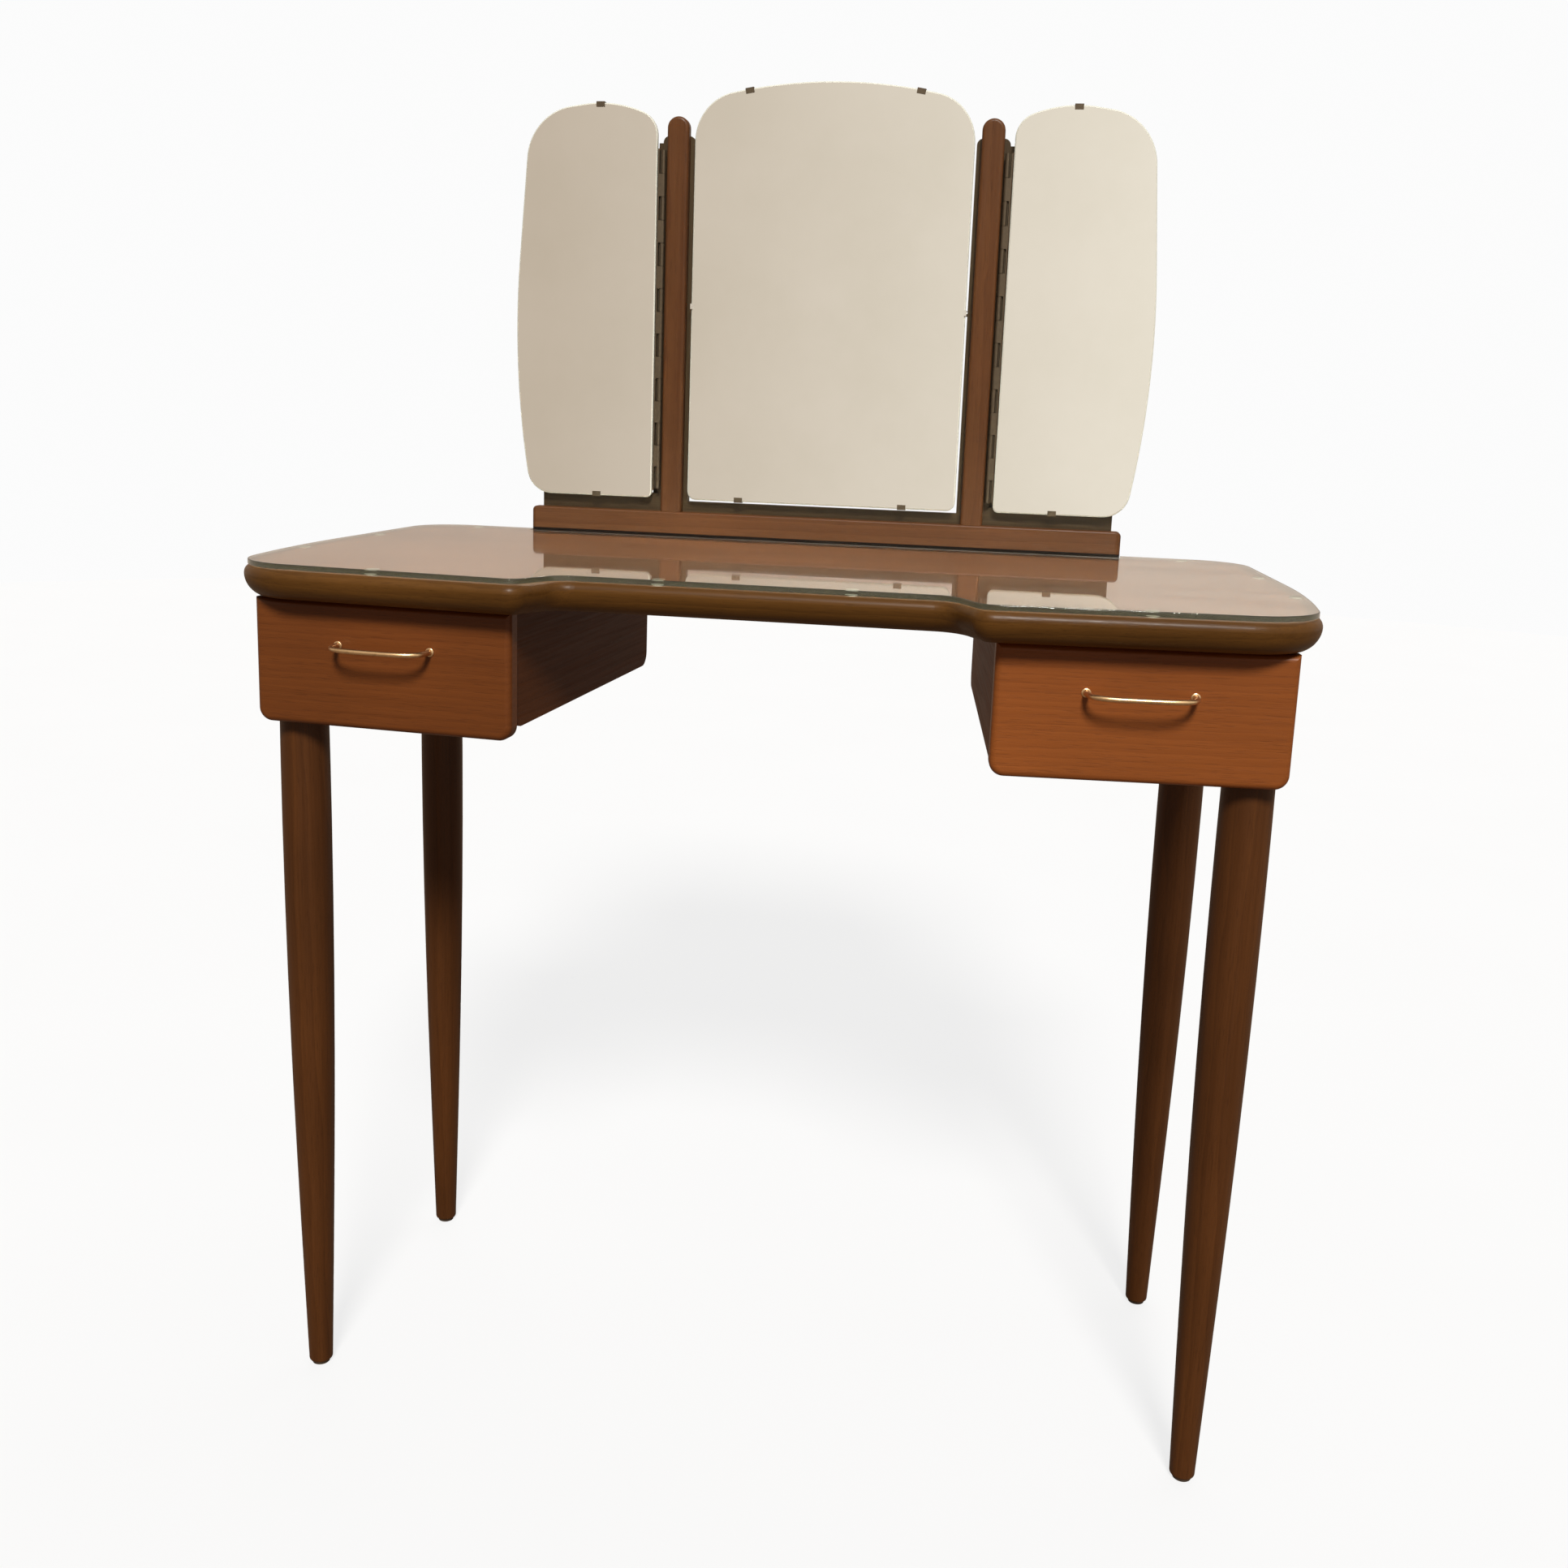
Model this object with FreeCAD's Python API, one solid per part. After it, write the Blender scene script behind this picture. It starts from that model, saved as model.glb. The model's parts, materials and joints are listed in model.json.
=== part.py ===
import FreeCAD, Part
import math
import os

V = FreeCAD.Vector
X_AXIS = V(1, 0, 0)
Y_AXIS = V(0, 1, 0)
Z_AXIS = V(0, 0, 1)
ORIGIN = V(0, 0, 0)
tolerance = 1e-6

# Millimetres and degrees. X runs across, Y from front to back, Z up. The origin is on the
# floor, midway across and midway between the front of the moulding and the back of the top.

# Table top
table_height = 720.0          # upper face of the glass
glass_thickness = 4.0
bumper_height = 1.0           # clear discs between the top and the glass
bumper_radius = 5.0
bumper_inset = 14.0           # middle of a disc, inside the edge of the top
top_thickness = 23.0          # board and edge moulding
top_front_y = -216.0          # moulding in front of the drawers
top_back_y = 216.0
knee_recess = 40.0            # how far the front steps back between the drawers
recess_half_width = 148.0     # where the step starts, from the middle
step_half_width = 170.0       # where the step ends, from the middle
front_sweep = 20.0            # how far the front edge runs back to its outer corner
corner_half_width = 410.6
widest_half_width = 423.0
widest_y = -60.0
back_half_width = 405.0
recess_radius = 20.0
step_radius = 16.0
front_corner_radius = 60.0
side_radius = 1000.0
back_corner_radius = 50.0
moulding_width = 11.5
moulding_undercut = 10.0      # how far the moulding's lower edge is set in
moulding_widest_drop = 6.5    # widest point, below the moulding's upper face
moulding_shoulder = 4.0       # where the upper face starts, inside the widest line
glass_inset = 3.0             # glass edge, inside the moulding's widest line
glass_edge_round = 0.8

# Drawer units, in a frame of their own: u outwards along the front, v backwards, z up
unit_angle = 4.5              # each unit is turned so that its back points inwards
unit_corner_x = 183.0         # inner lower corner of the drawer front
unit_corner_y = -188.0
front_width = 217.0
front_height = 100.0
front_thickness = 14.0
front_top_gap = 2.0           # between the top's underside and the drawer front
front_corner_round = 11.0
front_edge_round = 5.0
case_edge_inset = 1.0         # case side, behind the edge of the drawer front
case_front_gap = 1.0          # between the closed drawer front and the case
case_height = 93.6
case_depth = 323.0
case_side_thickness = 12.0
case_bottom_thickness = 12.0
case_back_thickness = 10.0
case_front_round = 10.0
case_back_round = 13.0
bottom_set_in = 13.0          # case bottom, in front of the case sides' back ends
runner_width = 9.0
runner_height = 4.0
cleat_width = 13.0
cleat_height = 9.0
drawer_side_gap = 2.0
drawer_runner_gap = 0.4
drawer_top_gap = 10.2         # under the cleats
drawer_box_depth = 294.0
drawer_side_thickness = 10.0
drawer_end_thickness = 11.0
drawer_bottom_thickness = 4.0
drawer_bottom_lift = 6.0      # bottom panel, above the lower edge of the drawer sides
groove_depth = 4.0
groove_clearance = 0.1

# Handles
handle_drop = 34.0            # screw line, below the upper edge of the drawer front
handle_middle_u = 105.5       # middle of the handle, from the front's inner edge
handle_half_span = 39.0
handle_reach = 24.5           # corner of the bow, in front of the drawer
handle_shoulder_reach = 19.0
handle_shoulder_radius = 13.0
handle_bow_radius = 160.0
handle_bar_radius = 2.4
handle_foot_radius = 3.6
handle_foot_thickness = 1.2
handle_screw_radius = 1.8
handle_screw_head_radius = 3.8
handle_screw_head_height = 2.2
handle_screw_depth = 5.0      # thread inside the handle's end
screw_clearance = 0.1

# Legs
# Share of the leg's length and radius there, from the foot up
leg_stations = [(0.0, 10.1), (0.25, 14.4), (0.5, 17.9), (0.75, 19.7), (1.0, 19.5)]
leg_foot_round = 2.6
leg_set_in = 21.5             # middle of a leg, from the outer edge of the drawer front
leg_front_v = 34.5
leg_back_v = 290.0
glide_height = 2.5
glide_radius = 7.5
leg_bolt_radius = 4.0
leg_bolt_clearance = 0.1
leg_bolt_depth = 36.0
leg_hole_spare = 1.0          # hole below the end of the bolt
tee_nut_radius = 9.0
tee_nut_flange = 1.6

# Mirror frame
plinth_half_length = 289.0
plinth_front_y = 194.5
plinth_thickness = 11.0
plinth_height = 29.0
plinth_round = 2.0
plinth_end_round = 5.0
plinth_rebate_height = 8.0    # shadow gap along the plinth's foot
plinth_rebate_depth = 3.0
notch_clearance = 1.5         # glass top, round the plinth
rail_half_length = 280.0
rail_thickness = 9.0
rail_height = 39.0            # between the stiles, just under the tilting mirror
rail_end_height = 46.0        # outside the stiles, up behind the wings
stile_inner_x = 132.5
stile_outer_x = 163.5
stile_top = table_height + 378.0
stile_round = 6.0
stile_lip_y = 210.0           # the lip starts behind the wing's backing
stile_lip_x = 168.5
bead_inner_x = 137.0
bead_outer_x = 158.0
bead_front_y = 195.5
bead_top = table_height + 394.5
bead_edge_round = 3.0

# Mirrors
mirror_front_y = 196.0
mirror_thickness = 5.0
backing_gap = 1.0
backing_thickness = 7.0
backing_inset = 6.0
centre_half_width = 131.0
centre_bottom = table_height + 36.5
centre_corner_round = 8.0
# Where the sides would meet the arched top, and where its two halves would meet unrounded
centre_shoulder_z = table_height + 408.9
centre_peak_z = table_height + 435.0
centre_shoulder_round = 44.0
centre_arch_radius = 470.0
wing_inner_x = 167.2
wing_bottom = table_height + 37.0
wing_inner_round = 5.0
wing_foot_x = 291.0
wing_foot_round = 25.0
# Corners of the wing's curved side, each x, z and radius
wing_belly = (310.4, table_height + 161.0, 877.0)
wing_shoulder = (292.4, table_height + 396.7, 51.0)
wing_peak = (210.6, table_height + 409.2, 112.0)
wing_neck = (wing_inner_x, table_height + 392.9, 23.0)
wing_backing_inner_x = 166.3
wing_backing_bottom = table_height + 44.0
wing_backing_top = table_height + 366.0

# Mirror clips
clip_width = 8.0
clip_metal = 0.8
clip_slack = 0.1
clip_lip = 4.0
side_clip_width = 5.0
side_clip_lip = 2.5
clip_tail = 16.0
centre_clip_x = 80.0
wing_clip_x = 223.0

# Tilting pivot of the middle mirror
pivot_y = 210.0
pivot_z = table_height + 221.0
pivot_pin_radius = 2.5
pivot_pin_clearance = 0.06
pivot_pin_inner_x = 120.5
pivot_pin_outer_x = 141.0
pivot_eye_radius = 4.5
pivot_eye_width = 6.5
pivot_plate_width = 28.0
pivot_plate_height = 18.0
pivot_plate_metal = 1.5
pivot_notch_height = 12.0

# Wing hinges
hinge_x = 161.6
hinge_y = 199.0
hinge_bottom = table_height + 46.0
hinge_top = table_height + 364.0
hinge_knuckles = 15           # an odd count: every second one belongs to the wing
hinge_slack = 0.4
hinge_radius = 2.4
hinge_pin_radius = 1.2
hinge_pin_clearance = 0.05
hinge_metal = 1.1

# Screws
wood_screw_radius = 2.0
wood_screw_head_radius = 4.0
wood_screw_head_height = 2.4
plinth_screw_x = [-230.0, 0.0, 230.0]
plinth_screw_reach = 16.0
cleat_screw_v = [60.0, 160.0, 280.0]
cleat_screw_reach = 14.0

glass_bottom = table_height - glass_thickness
board_top = glass_bottom - bumper_height
board_bottom = board_top - top_thickness
case_top = board_bottom
case_bottom = case_top - case_height
front_top = board_bottom - front_top_gap
front_bottom = front_top - front_height
inner_floor = case_bottom + case_bottom_thickness
box_bottom = inner_floor + runner_height + drawer_runner_gap
box_top = case_top - cleat_height - drawer_top_gap
case_v = front_thickness + case_front_gap
case_inner_u = case_edge_inset + case_side_thickness
case_outer_u = front_width - case_edge_inset - case_side_thickness
box_inner_u = case_inner_u + drawer_side_gap
box_outer_u = case_outer_u - drawer_side_gap
backing_front_y = mirror_front_y + mirror_thickness + backing_gap
rail_front_y = plinth_front_y + plinth_thickness
rail_top = board_top + rail_height
rail_end_top = board_top + rail_end_height
plinth_top = board_top + plinth_height
handle_z = front_top - handle_drop
leg_u = front_width - leg_set_in
leg_length = case_bottom - glide_height


def box(x0, x1, y0, y1, z0, z1):
    """A block between two corners, given in any order along each axis."""
    return Part.makeBox(abs(x1 - x0), abs(y1 - y0), abs(z1 - z0), V(min(x0, x1), min(y0, y1), min(z0, z1)))


def mirrored(shape):
    """The shape's mirror image, on the other side of the middle."""
    return shape.mirror(ORIGIN, X_AXIS)


def both_sides(shape):
    """The shape and its mirror image, as separate solids."""
    return Part.makeCompound([shape, mirrored(shape)])


def edges_along(shape, axis, test):
    """The straight edges parallel to an axis whose middle passes a test."""
    found = []
    for edge in shape.Edges:
        ends = [v.Point for v in edge.Vertexes]
        if len(ends) == 2 and (ends[1] - ends[0]).cross(axis).Length < tolerance:
            if test((ends[0] + ends[1]) * 0.5):
                found.append(edge)
    return found


def rounding(before, corner, after):
    """The start, middle and end of the arc that rounds a corner (x, y, radius)."""
    here = V(corner[0], corner[1], 0)
    back = (V(before[0], before[1], 0) - here).normalize()
    ahead = (V(after[0], after[1], 0) - here).normalize()
    half = back.getAngle(ahead) / 2
    inwards = (back + ahead).normalize()
    radius = corner[2]
    reach = radius / math.tan(half)
    middle = here + inwards * (radius / math.sin(half) - radius)
    return here + back * reach, middle, here + ahead * reach


def rounded_polygon(corners):
    """A closed wire through corners (x, y, radius), each turned with its radius."""
    count = len(corners)
    arcs = [rounding(corners[i - 1], corners[i], corners[(i + 1) % count]) for i in range(count)]
    edges = []
    for i, (start, middle, end) in enumerate(arcs):
        edges.append(Part.Arc(start, middle, end).toShape())
        edges.append(Part.makeLine(end, arcs[(i + 1) % count][0]))
    return Part.Wire(edges)


def rounded_path(corners):
    """An open wire from the first point to the last, with each corner between them rounded."""
    place = V(corners[0][0], corners[0][1], 0)
    edges = []
    for before, corner, after in zip(corners, corners[1:], corners[2:]):
        start, middle, end = rounding(before, corner, after)
        edges.append(Part.makeLine(place, start))
        edges.append(Part.Arc(start, middle, end).toShape())
        place = end
    edges.append(Part.makeLine(place, V(corners[-1][0], corners[-1][1], 0)))
    return Part.Wire(edges)


def top_outline():
    """The plan of the top, at the moulding's widest line."""
    right = [
        (recess_half_width, top_front_y + knee_recess, recess_radius),
        (step_half_width, top_front_y, step_radius),
        (corner_half_width, top_front_y + front_sweep, front_corner_radius),
        (widest_half_width, widest_y, side_radius),
        (back_half_width, top_back_y, back_corner_radius),
    ]
    left = [(-x, y, radius) for x, y, radius in reversed(right)]
    return rounded_polygon(right + left)


def plate(wire, z0, z1):
    """A flat plate with a plan outline, between two heights."""
    face = Part.Face(wire)
    return face.translated(V(0, 0, z0)).extrude(V(0, 0, z1 - z0))


def inset(wire, distance):
    """The outline moved inwards by a distance."""
    return wire.makeOffset2D(-distance)


def upright_arc(foot, rise, run):
    """An arc that leaves its foot upright and ends a given rise above and run behind it."""
    radius = (rise * rise + run * run) / (2 * run)
    half = math.asin(abs(rise) / radius) / 2
    middle = foot + V(0, radius * (1 - math.cos(half)), math.copysign(radius * math.sin(half), rise))
    return Part.Arc(foot, middle, foot + V(0, run, rise)).toShape()


def edge_moulding():
    """The lipping round the board: a rounded profile swept along the outline."""
    y = top_front_y + knee_recess
    widest = V(0, y, board_top - moulding_widest_drop)
    outer_top = V(0, y + moulding_shoulder, board_top)
    outer_bottom = V(0, y + moulding_undercut, board_bottom)
    inner_top = V(0, y + moulding_width, board_top)
    inner_bottom = V(0, y + moulding_width, board_bottom)
    profile = Part.Wire([
        Part.makeLine(inner_bottom, inner_top),
        Part.makeLine(inner_top, outer_top),
        upright_arc(widest, moulding_widest_drop, moulding_shoulder),
        upright_arc(widest, moulding_widest_drop - top_thickness, moulding_undercut),
        Part.makeLine(outer_bottom, inner_bottom),
    ])
    path = top_outline().translated(V(0, 0, board_top))
    return path.makePipeShell([profile], True, False)


def glass_top():
    """The sheet on the top, with a notch at the back for the mirror's plinth."""
    sheet = plate(inset(top_outline(), glass_inset), glass_bottom, table_height)
    upper = [e for e in sheet.Edges if min(v.Z for v in e.Vertexes) > table_height - glass_edge_round]
    sheet = sheet.makeFillet(glass_edge_round, upper)
    reach = plinth_half_length + notch_clearance
    notch = box(-reach, reach, plinth_front_y - notch_clearance, top_back_y, glass_bottom, table_height)
    return sheet.cut(notch)


def glass_bumpers():
    """Soft discs near the edge of the top, which the glass rests on."""
    points = [
        (recess_half_width / 2, top_front_y + knee_recess + bumper_inset),
        ((step_half_width + corner_half_width) / 2, top_front_y + front_sweep / 2 + bumper_inset),
        (widest_half_width - bumper_inset, widest_y),
        ((widest_half_width + back_half_width) / 2 - bumper_inset, (widest_y + top_back_y) / 2),
        ((plinth_half_length + back_half_width) / 2, top_back_y - bumper_inset),
    ]
    discs = [Part.makeCylinder(bumper_radius, bumper_height, V(x, y, board_top), Z_AXIS) for x, y in points]
    return both_sides(Part.makeCompound(discs))


def wood_screw(base, direction, length):
    """A countersunk screw whose head starts at the base point."""
    head = Part.makeCone(wood_screw_head_radius, wood_screw_radius, wood_screw_head_height, base, direction)
    shank = Part.makeCylinder(wood_screw_radius, length, base, direction)
    return head.fuse(shank)


def in_unit(shape):
    """Moves a shape from the drawer unit's frame to the right-hand unit."""
    turned = shape.copy()
    turned.rotate(ORIGIN, Z_AXIS, unit_angle)
    turned.translate(V(unit_corner_x, unit_corner_y, 0))
    return turned


def case_side(u0):
    """A case side, with its lower corners rounded."""
    side = box(u0, u0 + case_side_thickness, case_v, case_v + case_depth, case_bottom, case_top)
    middle = case_v + case_depth / 2
    front = edges_along(side, X_AXIS, lambda p: p.z < inner_floor and p.y < middle)
    side = side.makeFillet(case_front_round, front)
    back = edges_along(side, X_AXIS, lambda p: p.z < inner_floor and p.y > middle)
    return side.makeFillet(case_back_round, back)


def drawer_front():
    """The overlay front: rounded lower corners, softened front edges, holes for the handle."""
    front = box(0, front_width, 0, front_thickness, front_bottom, front_top)
    lower = edges_along(front, Y_AXIS, lambda p: p.z < handle_z)
    front = front.makeFillet(front_corner_round, lower)
    rim = [e for e in front.Edges if max(v.Y for v in e.Vertexes) < front_edge_round]
    return front.makeFillet(front_edge_round, rim)


def handle_points():
    """The two screw points on the face of the drawer front."""
    places = [handle_middle_u - handle_half_span, handle_middle_u + handle_half_span]
    return [V(u, 0, handle_z) for u in places]


def handle():
    """A slim bow: a round bar from one foot to the other, with a small flange at each."""
    first, last = [point.x for point in handle_points()]
    corners = [
        (first, 0.0, 0.0),
        (first, -handle_shoulder_reach, handle_shoulder_radius),
        (handle_middle_u, -handle_reach, handle_bow_radius),
        (last, -handle_shoulder_reach, handle_shoulder_radius),
        (last, 0.0, 0.0),
    ]
    path = rounded_path(corners).translated(V(0, 0, handle_z))
    ring = Part.Wire([Part.makeCircle(handle_bar_radius, V(first, 0, handle_z), Y_AXIS)])
    bar = path.makePipeShell([ring], True, False)
    for foot in handle_points():
        flange = Part.makeCylinder(handle_foot_radius, handle_foot_thickness, foot, V(0, -1, 0))
        bar = bar.fuse(flange)
    for hole in handle_screw_holes(handle_screw_radius):
        bar = bar.cut(hole)
    return bar


def handle_screw_holes(radius):
    """Rods along the handle screws, from inside the drawer into the handle's feet."""
    inside = front_thickness + drawer_end_thickness
    length = inside + handle_screw_depth
    return [Part.makeCylinder(radius, length, p + V(0, inside, 0), V(0, -1, 0)) for p in handle_points()]


def handle_screws():
    screws = []
    inside = front_thickness + drawer_end_thickness
    for point, rod in zip(handle_points(), handle_screw_holes(handle_screw_radius - screw_clearance)):
        base = point + V(0, inside, 0)
        head = Part.makeCylinder(handle_screw_head_radius, handle_screw_head_height, base, Y_AXIS)
        screws.append(rod.fuse(head))
    return Part.makeCompound(screws)


def with_holes(shape, rods):
    for rod in rods:
        shape = shape.cut(rod)
    return shape


def drawer_parts():
    """The pieces of one drawer, closed."""
    back_v = front_thickness + drawer_box_depth
    inner0 = box_inner_u + drawer_side_thickness
    inner1 = box_outer_u - drawer_side_thickness
    floor0 = box_bottom + drawer_bottom_lift
    floor1 = floor0 + drawer_bottom_thickness
    v0 = front_thickness + drawer_end_thickness
    v1 = back_v - drawer_end_thickness
    slot = box(inner0 - groove_depth, inner1 + groove_depth, v0 - groove_depth, v1 + groove_depth,
               floor0 - groove_clearance, floor1 + groove_clearance)
    near = box(box_inner_u, inner0, front_thickness, back_v, box_bottom, box_top).cut(slot)
    far = box(inner1, box_outer_u, front_thickness, back_v, box_bottom, box_top).cut(slot)
    end0 = box(inner0, inner1, front_thickness, v0, box_bottom, box_top).cut(slot)
    end1 = box(inner0, inner1, v1, back_v, box_bottom, box_top).cut(slot)
    play = groove_clearance
    panel = box(inner0 - groove_depth + play, inner1 + groove_depth - play,
                v0 - groove_depth + play, v1 + groove_depth - play, floor0, floor1)
    rods = handle_screw_holes(handle_screw_radius)
    return {
        "drawer_front": with_holes(drawer_front(), rods),
        "drawer_box_front": with_holes(end0, rods),
        "drawer_box_sides": Part.makeCompound([near, far]),
        "drawer_box_back": end1,
        "drawer_box_bottom": panel,
        "handle": handle(),
        "handle_screws": handle_screws(),
    }


def cleat_screw_points():
    """Heads of the screws that hold the cleats to the top, under each cleat."""
    lines = [case_inner_u + cleat_width / 2, case_outer_u - cleat_width / 2]
    return [V(u, v, case_top - cleat_height) for u in lines for v in cleat_screw_v]


def cleat_screw(point):
    return wood_screw(point, Z_AXIS, cleat_screw_reach)


def leg_points():
    return [V(leg_u, leg_front_v, 0), V(leg_u, leg_back_v, 0)]


def leg_bolt(point, radius, z0, z1):
    return Part.makeCylinder(radius, z1 - z0, V(point.x, point.y, z0), Z_AXIS)


def case_parts():
    """The boards of one drawer unit and what holds the legs to it."""
    back_v = case_v + case_depth
    bolt_hole = leg_bolt_radius + leg_bolt_clearance
    bottom = box(case_inner_u, case_outer_u, case_v, back_v - bottom_set_in, case_bottom, inner_floor)
    nuts = []
    bolts = []
    for point in leg_points():
        bottom = bottom.cut(leg_bolt(point, bolt_hole, case_bottom, inner_floor))
        bottom = bottom.cut(leg_bolt(point, tee_nut_radius, inner_floor - tee_nut_flange, inner_floor))
        nut = leg_bolt(point, tee_nut_radius - screw_clearance, inner_floor - tee_nut_flange, inner_floor)
        nuts.append(nut.cut(leg_bolt(point, bolt_hole, case_bottom, inner_floor)))
        bolts.append(leg_bolt(point, leg_bolt_radius, case_bottom - leg_bolt_depth, inner_floor))
    back = box(case_inner_u, case_outer_u, back_v - bottom_set_in - case_back_thickness,
               back_v - bottom_set_in, inner_floor, case_top)
    v0 = case_v
    v1 = back_v - bottom_set_in - case_back_thickness
    runners = [
        box(case_inner_u, case_inner_u + runner_width, v0, v1, inner_floor, inner_floor + runner_height),
        box(case_outer_u - runner_width, case_outer_u, v0, v1, inner_floor, inner_floor + runner_height),
    ]
    cleats = [
        box(case_inner_u, case_inner_u + cleat_width, v0, v1, case_top - cleat_height, case_top),
        box(case_outer_u - cleat_width, case_outer_u, v0, v1, case_top - cleat_height, case_top),
    ]
    outer = case_side(case_outer_u)
    for point in leg_points():
        nut_room = leg_bolt(point, tee_nut_radius, inner_floor - tee_nut_flange, inner_floor)
        outer = outer.cut(nut_room)
        runners = [runner.cut(nut_room) for runner in runners]
    screws = []
    for point in cleat_screw_points():
        screw = cleat_screw(point)
        cleats = [cleat.cut(screw) for cleat in cleats]
        screws.append(screw)
    return {
        "case_inner_side": case_side(case_edge_inset),
        "case_outer_side": outer,
        "case_bottom": bottom,
        "case_back": back,
        "runners": Part.makeCompound(runners),
        "cleats": Part.makeCompound(cleats),
        "cleat_screws": Part.makeCompound(screws),
        "tee_nuts": Part.makeCompound(nuts),
        "leg_bolts": Part.makeCompound(bolts),
    }


def leg(point):
    """A turned leg: full at the top, tapering to a narrow foot."""
    points = [V(radius, 0, glide_height + share * leg_length) for share, radius in leg_stations]
    curve = Part.BSplineCurve()
    curve.interpolate(points)
    low = points[0]
    high = points[-1]
    profile = Part.Wire([
        curve.toShape(),
        Part.makeLine(high, V(0, 0, high.z)),
        Part.makeLine(V(0, 0, high.z), V(0, 0, low.z)),
        Part.makeLine(V(0, 0, low.z), low),
    ])
    body = Part.Face(profile).revolve(ORIGIN, Z_AXIS, 360)
    foot = [e for e in body.Edges if max(v.Z for v in e.Vertexes) < glide_height + tolerance
            and e.Length > low.x]
    body = body.makeFillet(leg_foot_round, foot)
    hole_bottom = high.z - leg_bolt_depth - leg_hole_spare
    hole = leg_bolt(ORIGIN, leg_bolt_radius + leg_bolt_clearance, hole_bottom, high.z)
    return body.cut(hole).translated(V(point.x, point.y, 0))


def leg_glide(point):
    return Part.makeCylinder(glide_radius, glide_height, V(point.x, point.y, 0), Z_AXIS)


def in_mirror_plane(wire, y0, y1):
    """A plate from an outline drawn with z as its second value, between two depths."""
    face = Part.Face(wire)
    return face.translated(V(0, y0, 0)).extrude(V(0, y1 - y0, 0))


def upright(x, z):
    """A point in the plane of the mirrors' outlines."""
    return V(x, 0, z)


def stood_up(wire):
    """An outline drawn flat, stood on edge so that its second value is a height."""
    return wire.rotated(ORIGIN, X_AXIS, 90)


def centre_outline():
    """The middle mirror: straight sides, rounded shoulders and a shallow arched top."""
    foot = (centre_half_width, centre_bottom, centre_corner_round)
    shoulder = (centre_half_width, centre_shoulder_z, centre_shoulder_round)
    peak = (0.0, centre_peak_z, centre_arch_radius)
    left = [(-x, z, radius) for x, z, radius in (shoulder, foot)]
    return stood_up(rounded_polygon([foot, shoulder, peak] + left))


def wing_outline():
    """The right-hand wing: straight inner and lower edges, and one long curve outside."""
    inner = (wing_inner_x, wing_bottom, wing_inner_round)
    foot = (wing_foot_x, wing_bottom, wing_foot_round)
    return stood_up(rounded_polygon([inner, foot, wing_belly, wing_shoulder, wing_peak, wing_neck]))


def mirror_glass(wire):
    return in_mirror_plane(wire, mirror_front_y, mirror_front_y + mirror_thickness)


def mirror_backing(wire):
    rear = backing_front_y + backing_thickness
    return in_mirror_plane(inset(wire, backing_inset), backing_front_y, rear)


def clip(point, direction, width, grip):
    """A thin metal hook over the mirror's edge; the direction points out of the glass."""
    front = mirror_front_y - clip_slack - clip_metal
    rear = mirror_front_y + mirror_thickness + clip_slack
    half = width / 2
    out = clip_slack + clip_metal
    lip = box(-half, half, front, front + clip_metal, -grip, out)
    strap = box(-half, half, front, rear + clip_metal, clip_slack, out)
    tail = box(-half, half, rear, rear + clip_metal, -clip_tail, out)
    hook = lip.fuse(strap).fuse(tail).removeSplitter()
    hook.rotate(ORIGIN, Y_AXIS, math.degrees(math.atan2(direction.x, direction.z)))
    return hook.translated(point)


def edge_clip(wire, x, upper):
    """A clip on an outline's upper or lower edge at one x, square to the edge there."""
    half = clip_width / 2
    heights = []
    for where in (x - half, x, x + half):
        line = Part.makeLine(upright(where, rail_top), upright(where, centre_peak_z))
        cut = Part.Face(wire).common(line)
        heights.append(cut.BoundBox.ZMax if upper else cut.BoundBox.ZMin)
    slope = (heights[2] - heights[0]) / clip_width
    bulge = heights[1] - (heights[0] + heights[2]) / 2
    sign = 1 if upper else -1
    point = upright(x, heights[1] + sign * abs(bulge))
    return clip(point, V(-slope * sign, 0, sign), clip_width, clip_lip)


def hinge_rod(radius, z0, z1):
    return Part.makeCylinder(radius, z1 - z0, V(hinge_x, hinge_y, z0), Z_AXIS)


def knuckle_spans(first):
    """Lower and upper ends of every second knuckle of the long hinge."""
    pitch = (hinge_top - hinge_bottom) / hinge_knuckles
    picked = range(first, hinge_knuckles, 2)
    return [(hinge_bottom + i * pitch, hinge_bottom + (i + 1) * pitch) for i in picked]


def hinge_frame_leaf():
    """The leaf on the stile, with its knuckles and the pin."""
    metal = box(stile_outer_x, stile_outer_x + hinge_metal, hinge_y, stile_lip_y, hinge_bottom, hinge_top)
    for low, high in knuckle_spans(1):
        metal = metal.cut(hinge_rod(hinge_radius + hinge_slack, low, high))
    for low, high in knuckle_spans(0):
        metal = metal.fuse(hinge_rod(hinge_radius, low, high))
    return metal.fuse(hinge_rod(hinge_pin_radius, hinge_bottom, hinge_top))


def hinge_wing_leaf():
    """The leaf on the wing, whose knuckles turn on the pin."""
    front = hinge_y - hinge_radius
    metal = box(wing_backing_inner_x - hinge_metal, wing_backing_inner_x, front,
                backing_front_y + backing_thickness, hinge_bottom, hinge_top)
    for low, high in knuckle_spans(1):
        low += hinge_slack
        high -= hinge_slack
        metal = metal.fuse(box(hinge_x, wing_backing_inner_x, front, front + hinge_metal, low, high))
        metal = metal.fuse(hinge_rod(hinge_radius, low, high))
    return metal.cut(hinge_rod(hinge_pin_radius + hinge_pin_clearance, hinge_bottom, hinge_top))


def pivot_rod(radius, x0, x1):
    return Part.makeCylinder(radius, x1 - x0, V(x0, pivot_y, pivot_z), X_AXIS)


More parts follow.
